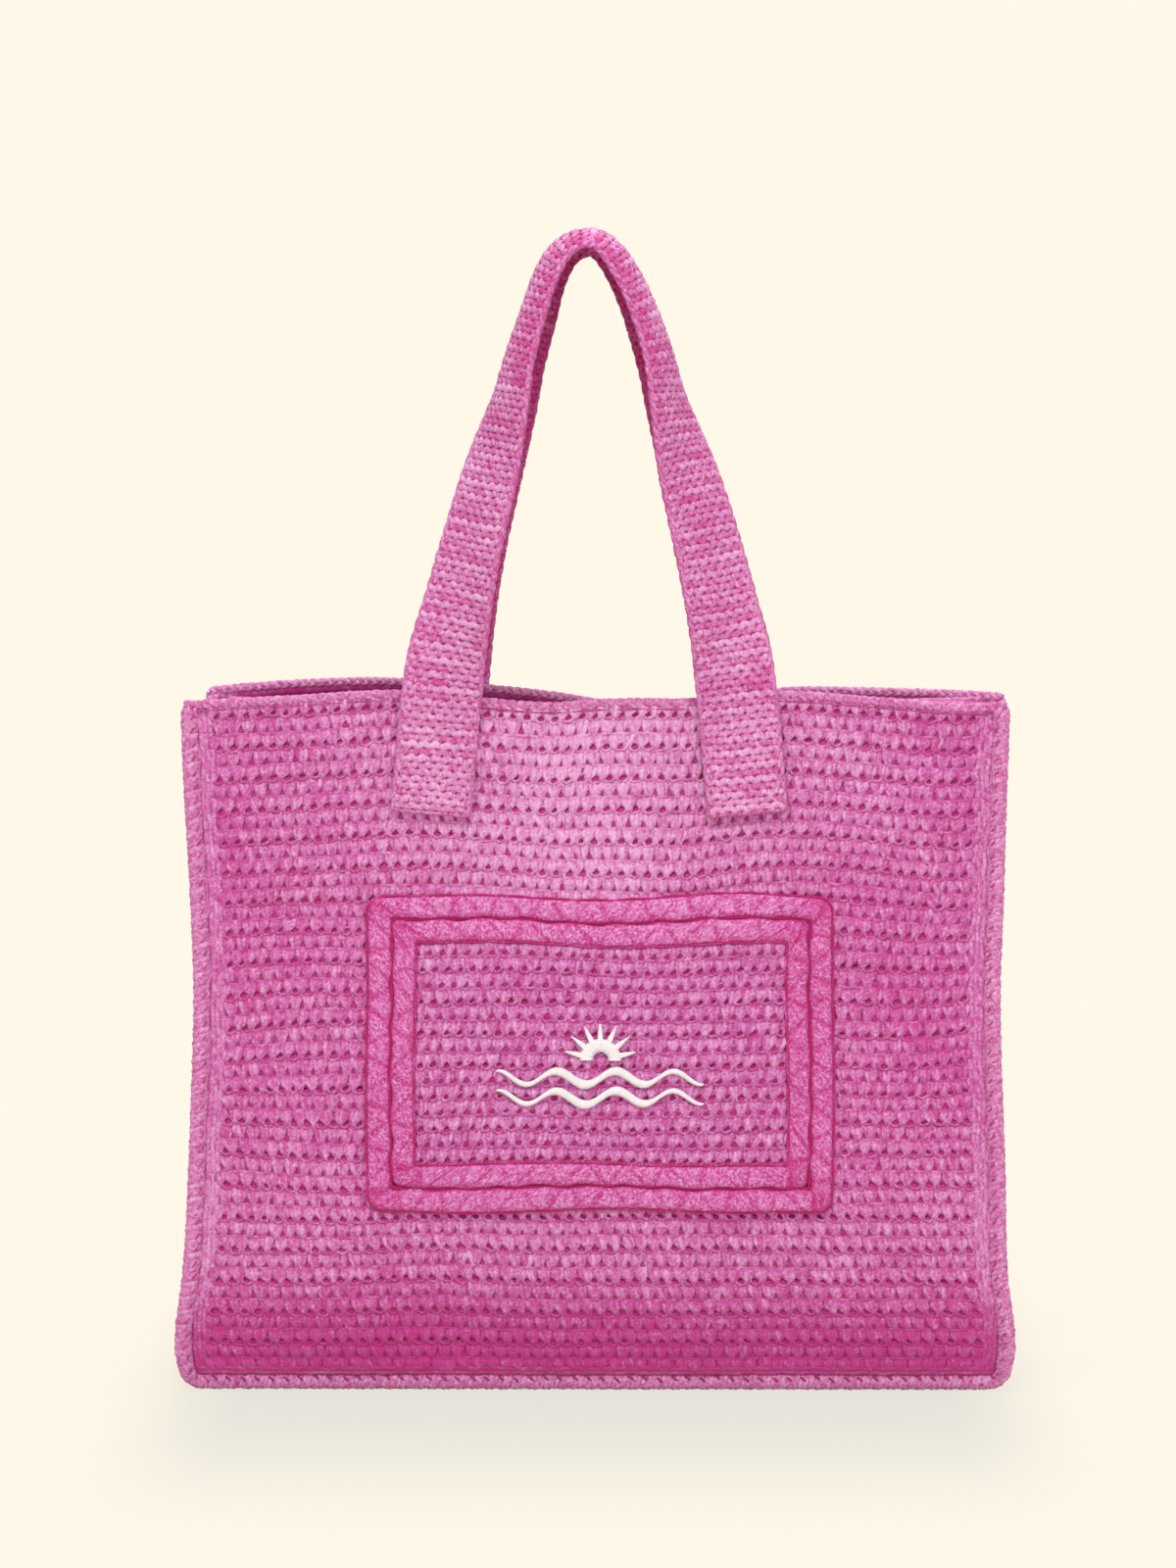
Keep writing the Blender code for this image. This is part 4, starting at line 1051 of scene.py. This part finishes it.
def make_tape(name, width, height, corner, lean, outer_tape):
    """A padded braid tape: slanting grooves part its pads, and cords edge it."""
    outer = rounded_ring(width, height, corner)
    inner = rounded_ring(width - 2.0 * TAPE_WIDTH, height - 2.0 * TAPE_WIDTH, SMALLEST_CORNER)
    run, total = run_round((outer + inner) / 2.0)
    pads = 2 * round(total / PAD_PAIR)
    pitch = total / pads
    v = np.concatenate([[1.0], np.linspace(1.0, -1.0, 15), [-1.0]])
    nearest = 1.0
    for step in (-1, 0, 1, 2):
        k = np.floor(run / pitch) + step
        sign = np.where(k % 2 == 0, 1.0, -1.0)
        place = (k + 0.5)[:, None] * pitch + (sign * lean)[:, None] * v
        nearest = np.minimum(nearest, np.abs(run[:, None] - place))
    wobble = 0.0004 * ripple(run, 0 * run, 0.014, 17)[:, None]
    pad = 1.0 - np.exp(-(((nearest + wobble) / 0.0012) ** 2))
    edge = 1.0 - np.abs(v) ** 5
    gap = 0.5 + 0.5 * np.cos(2 * math.pi * run / total * (pads // 2))
    recess = (0.0001 + 0.0008 * gap + 0.0002 * ripple(run, 0 * run, 0.012, 19)) / TAPE_WIDTH
    low, high = (recess, 0.0 * run) if outer_tape else (0.0 * run, recess)
    share = (v + 1.0) / 2.0 * (1.0 - low - high)[:, None] + low[:, None]
    flat = inner[:, None, :] + (outer - inner)[:, None, :] * share[..., None]
    grain = np.random.default_rng(23).normal(0.0, 1.0, share.shape)
    out = 0.0026 + 0.0014 * edge + 0.0009 * pad * edge + 0.00012 * grain
    out[:, [0, -1]] = 0.0006
    point, _ = sewn(flat[..., 0], flat[..., 1], out)
    corners = np.array([width / 2.0, height / 2.0]) - TAPE_WIDTH / 2.0
    deep = np.exp(-((np.linalg.norm(np.abs(flat) - corners, axis=-1) / 0.009) ** 2))
    yarn = Yarn(seed=201 if outer_tape else 202, grain=0.13)
    level = np.abs(flat[..., 1]) / (height / 2.0)
    # Pads that puff out are painted lighter and the grooves between them darker, painted highlight and shade;
    # the corners are darker and the top and bottom runs a little lighter.
    yarn.add_band(point, 0.34 + 0.17 * pad * edge**0.5 - 0.16 * deep + 0.07 * level**4)
    # The cords are dark: painted shade along the tapes' edges and, darkest, in the gap between the two tapes.
    if outer_tape:
        cord(yarn, outer, 0.00075, 0.0026, -0.45, 0.0006)
        cord(yarn, inner, 0.0015, 0.0012, -0.80)
    else:
        cord(yarn, inner, 0.00075, 0.0030, -0.45, -0.0005)
    finish_piece(yarn, name + "_braid", "tape_braid", name)


def make_patch():
    width, height = OUTER_TAPE_SIZE
    make_tape("patch_outer_tape", width, height, TAPE_CORNER, lean=0.0030, outer_tape=True)
    width, height = width - 2.0 * TAPE_WIDTH - 2.0 * GAP, height - 2.0 * TAPE_WIDTH - 2.0 * GAP
    make_tape("patch_inner_tape", width, height, TAPE_CORNER / 2.0, lean=0.0046, outer_tape=False)
    width, height = width - 2.0 * TAPE_WIDTH, height - 2.0 * TAPE_WIDTH
    columns, rows = round(width / STITCH[0]), round(height / STITCH[1])

    def bare(s, t):
        return sewn((s / columns - 0.5) * width, (t / rows - 0.5) * height, 0.0014)[0]

    def lean(i, j):
        return 0.8 + 0.0 * i

    name = "patch_crochet"
    crochet_piece(name, name, "patch_panel", bare, columns, rows, lean, 211, eyelet=0.90, every=1)


def satin(name, low, high):
    """White satin stitches side by side, each from a low to a high point about the motif's middle."""
    t = np.linspace(0.0, 1.0, 7)
    point = low[:, None, :] + (high - low)[:, None, :] * t[..., None]
    rise = 0.0038 + 0.0006 * np.sin(math.pi * t) ** 0.5 - 0.0008 * (np.abs(2.0 * t - 1.0) > 0.99)
    where, face = front_face(PATCH_X + point[..., 0], MOTIF_Z + point[..., 1], rise)
    yarn = Yarn(sides=6, twist=0.002, seed=len(low), grain=0.05)
    yarn.add(where, THREAD, face, tone=0.06, crest=0.12)
    finish_piece(yarn, name + "_satin", "white_embroidery", name)


def make_motif():
    teeth = 4 * RAYS
    angle = np.linspace(0.0, math.pi, 132)
    at = angle / math.pi * teeth
    tooth = np.arange(teeth + 1)
    reach = np.interp(at, tooth, np.where(tooth % 4 == 2, RAY_RADIUS, SUN_RADIUS))
    around = np.stack([np.cos(angle), np.sin(angle)], axis=1)
    satin("motif_sun", around * SUN_HOLLOW * SUN_RADIUS, around * reach[:, None])
    for name, drop in (("motif_upper_wave", UPPER_WAVE_DROP), ("motif_lower_wave", LOWER_WAVE_DROP)):
        x = np.linspace(-WAVE_SPAN / 2.0, WAVE_SPAN / 2.0, int(WAVE_SPAN / SATIN_PITCH))
        taper = np.sin(math.pi * (0.06 + 0.88 * (x / WAVE_SPAN + 0.5)))
        middle = WAVE_HEIGHT * np.sin(2.0 * math.pi * x / WAVE_LENGTH) - drop
        lean = 0.0006
        low = np.stack([x - lean, middle - WAVE_BAND * taper / 2.0], axis=1)
        high = np.stack([x + lean, middle + WAVE_BAND * taper / 2.0], axis=1)
        satin(name, low, high)


def make_stitching(word, side, strap):
    """Running stitches through a strap's sewn ends: down one edge, across the foot and up the other."""
    inset = STITCH_INSET / (STRAP_WIDTH / 2.0)
    length = STITCH_TOP - TAB_FOOT
    for hand_word, flip in (("left", False), ("right", True)):
        down = np.linspace(length, STITCH_INSET, 60)
        over = np.linspace(-(1.0 - inset), 1.0 - inset, 60)
        run = np.concatenate([down, np.full(58, STITCH_INSET), down[::-1]])
        share = np.concatenate([np.full(60, over[0]), over[1:-1], np.full(60, over[-1])])
        steps = np.hypot(np.diff(run), np.diff(share) * STRAP_WIDTH / 2.0)
        at = np.concatenate([[0.0], np.cumsum(steps)])
        dense = np.arange(0.0, at[-1], 0.0004)
        run, share = np.interp(dense, at, run), np.interp(dense, at, share)
        dip = smooth_step(0.2, 0.7, np.sin(2 * math.pi * dense / RUNNING_PITCH) + 0.35)
        point, outward = strap.at(strap.length - run if flip else run, share, 0.0012 + 0.0014 * dip)
        yarn = Yarn(twist=0.0016, seed=221 + side)
        yarn.add(point, THREAD, outward, crest=0.10)
        name = f"{word}_handle_{hand_word}_stitching"
        finish_piece(yarn, name + "_thread", "sewing_thread", name)


# ---- stage

CREAM = (1.0, 0.939, 0.807)
SHADOW = (0.80, 0.79, 0.725)
VIEW_WIDTH = 0.6007             # what the camera sees across at its target


def make_floor():
    """A cream floor with a soft painted shadow, which fades into the backdrop."""
    mesh = bpy.data.meshes.new("floor")
    mesh.from_pydata([(-3, -3, 0), (3, -3, 0), (3, 3, 0), (-3, 3, 0)], [], [(0, 1, 2, 3)])
    floor = bpy.data.objects.new("floor", mesh)
    bpy.context.scene.collection.objects.link(floor)
    material = bpy.data.materials.new("floor")
    material.use_nodes = True
    material.node_tree.nodes.clear()
    add = adder(material.node_tree)

    def soft(value, low, high):
        inputs = {"Value": value, "From Min": low, "From Max": high}
        return add("MapRange", inputs, interpolation_type="SMOOTHSTEP").outputs[0]

    place = add("TexCoord").outputs["Object"]
    split = add("SeparateXYZ", {0: place}).outputs
    away = [add("Math", {0: split[axis]}, operation="ABSOLUTE").outputs[0] for axis in "XY"]
    inside = {0: soft(away[0], 0.250, 0.175), 1: soft(away[1], 0.430, 0.100)}
    shadow = add("Math", inside, operation="MULTIPLY").outputs[0]
    tone = add("Mix", {0: shadow, 6: (*CREAM, 1.0), 7: (*SHADOW, 1.0)}, data_type="RGBA").outputs[2]
    glow = add("Emission", {"Color": tone, "Strength": 0.89}).outputs[0]
    plain = add("BsdfDiffuse", {"Color": (0.080, 0.076, 0.066, 1.0)}).outputs[0]
    near = add("AddShader", {0: glow, 1: plain}).outputs[0]
    distance = add("VectorMath", {0: place}, operation="LENGTH").outputs["Value"]
    pure = add("Emission", {"Color": (*CREAM, 1.0)}).outputs[0]
    far = add("MixShader", {0: soft(distance, 0.30, 0.90), 1: near, 2: pure}).outputs[0]
    matte = add("BsdfDiffuse", {"Color": (0.75, 0.72, 0.66, 1.0)}).outputs[0]
    camera_ray = add("LightPath").outputs["Is Camera Ray"]
    add("OutputMaterial", {"Surface": add("MixShader", {0: camera_ray, 1: matte, 2: far}).outputs[0]})
    mesh.materials.append(material)


def make_world():
    world = bpy.data.worlds.new("studio")
    bpy.context.scene.world = world
    world.use_nodes = True
    world.node_tree.nodes.clear()
    add = adder(world.node_tree)
    seen = add("Background", {"Color": (*CREAM, 1.0)}).outputs[0]
    soft = add("Background", {"Color": (1.0, 0.98, 0.96, 1.0), "Strength": 0.60}).outputs[0]
    camera_ray = add("LightPath").outputs["Is Camera Ray"]
    add("OutputWorld", {"Surface": add("MixShader", {0: camera_ray, 1: soft, 2: seen}).outputs[0]})


def aim(thing, target):
    thing.rotation_euler = (Vector(target) - thing.location).to_track_quat("-Z", "Y").to_euler()


def make_light(name, place, target, size, power):
    light = bpy.data.lights.new(name, "AREA")
    light.shape = "RECTANGLE"
    light.size, light.size_y = size
    light.energy = power
    light.color = (1.0, 0.985, 0.97)
    holder = bpy.data.objects.new(name, light)
    bpy.context.scene.collection.objects.link(holder)
    holder.location = place
    aim(holder, target)


def make_camera():
    azimuth, elevation, distance = math.radians(0.4), math.radians(4.5), 2.95
    target, level = Vector((-0.0035, -0.055, 0.3139)), math.cos(elevation)
    away = Vector((math.sin(azimuth) * level, -math.cos(azimuth) * level, math.sin(elevation)))
    lens = bpy.data.cameras.new("camera")
    lens.sensor_fit = "HORIZONTAL"
    lens.sensor_width = 36.0
    lens.lens = 36.0 * distance / VIEW_WIDTH
    camera = bpy.data.objects.new("camera", lens)
    bpy.context.scene.collection.objects.link(camera)
    camera.location = target + away * distance
    aim(camera, target)
    bpy.context.scene.camera = camera


make_panel("front_panel", -1)
make_panel("rear_panel", 1)
make_gusset("left_gusset", -1)
make_gusset("right_gusset", 1)
make_base()
make_base_joins()
make_seams("front", -1)
make_seams("rear", 1)
make_bindings()
make_stitching("front", -1, make_strap("front", -1))
make_stitching("rear", 1, make_strap("rear", 1))
make_patch()
make_motif()
make_floor()
make_world()
make_light("key", (-0.5, -1.8, 2.9), (0, 0, 0.2), (2.0, 1.6), 46.0)
make_light("fill", (1.2, -2.4, 1.7), (0, 0, 0.2), (1.6, 1.6), 14.0)
make_light("top", (0.0, 0.5, 2.2), (0, 0, 0.1), (2.0, 1.6), 19.0)
make_light("rear", (0.5, 2.4, 1.5), (0, 0, 0.2), (1.6, 1.6), 22.0)
make_camera()
bpy.context.scene.view_settings.view_transform = "Standard"
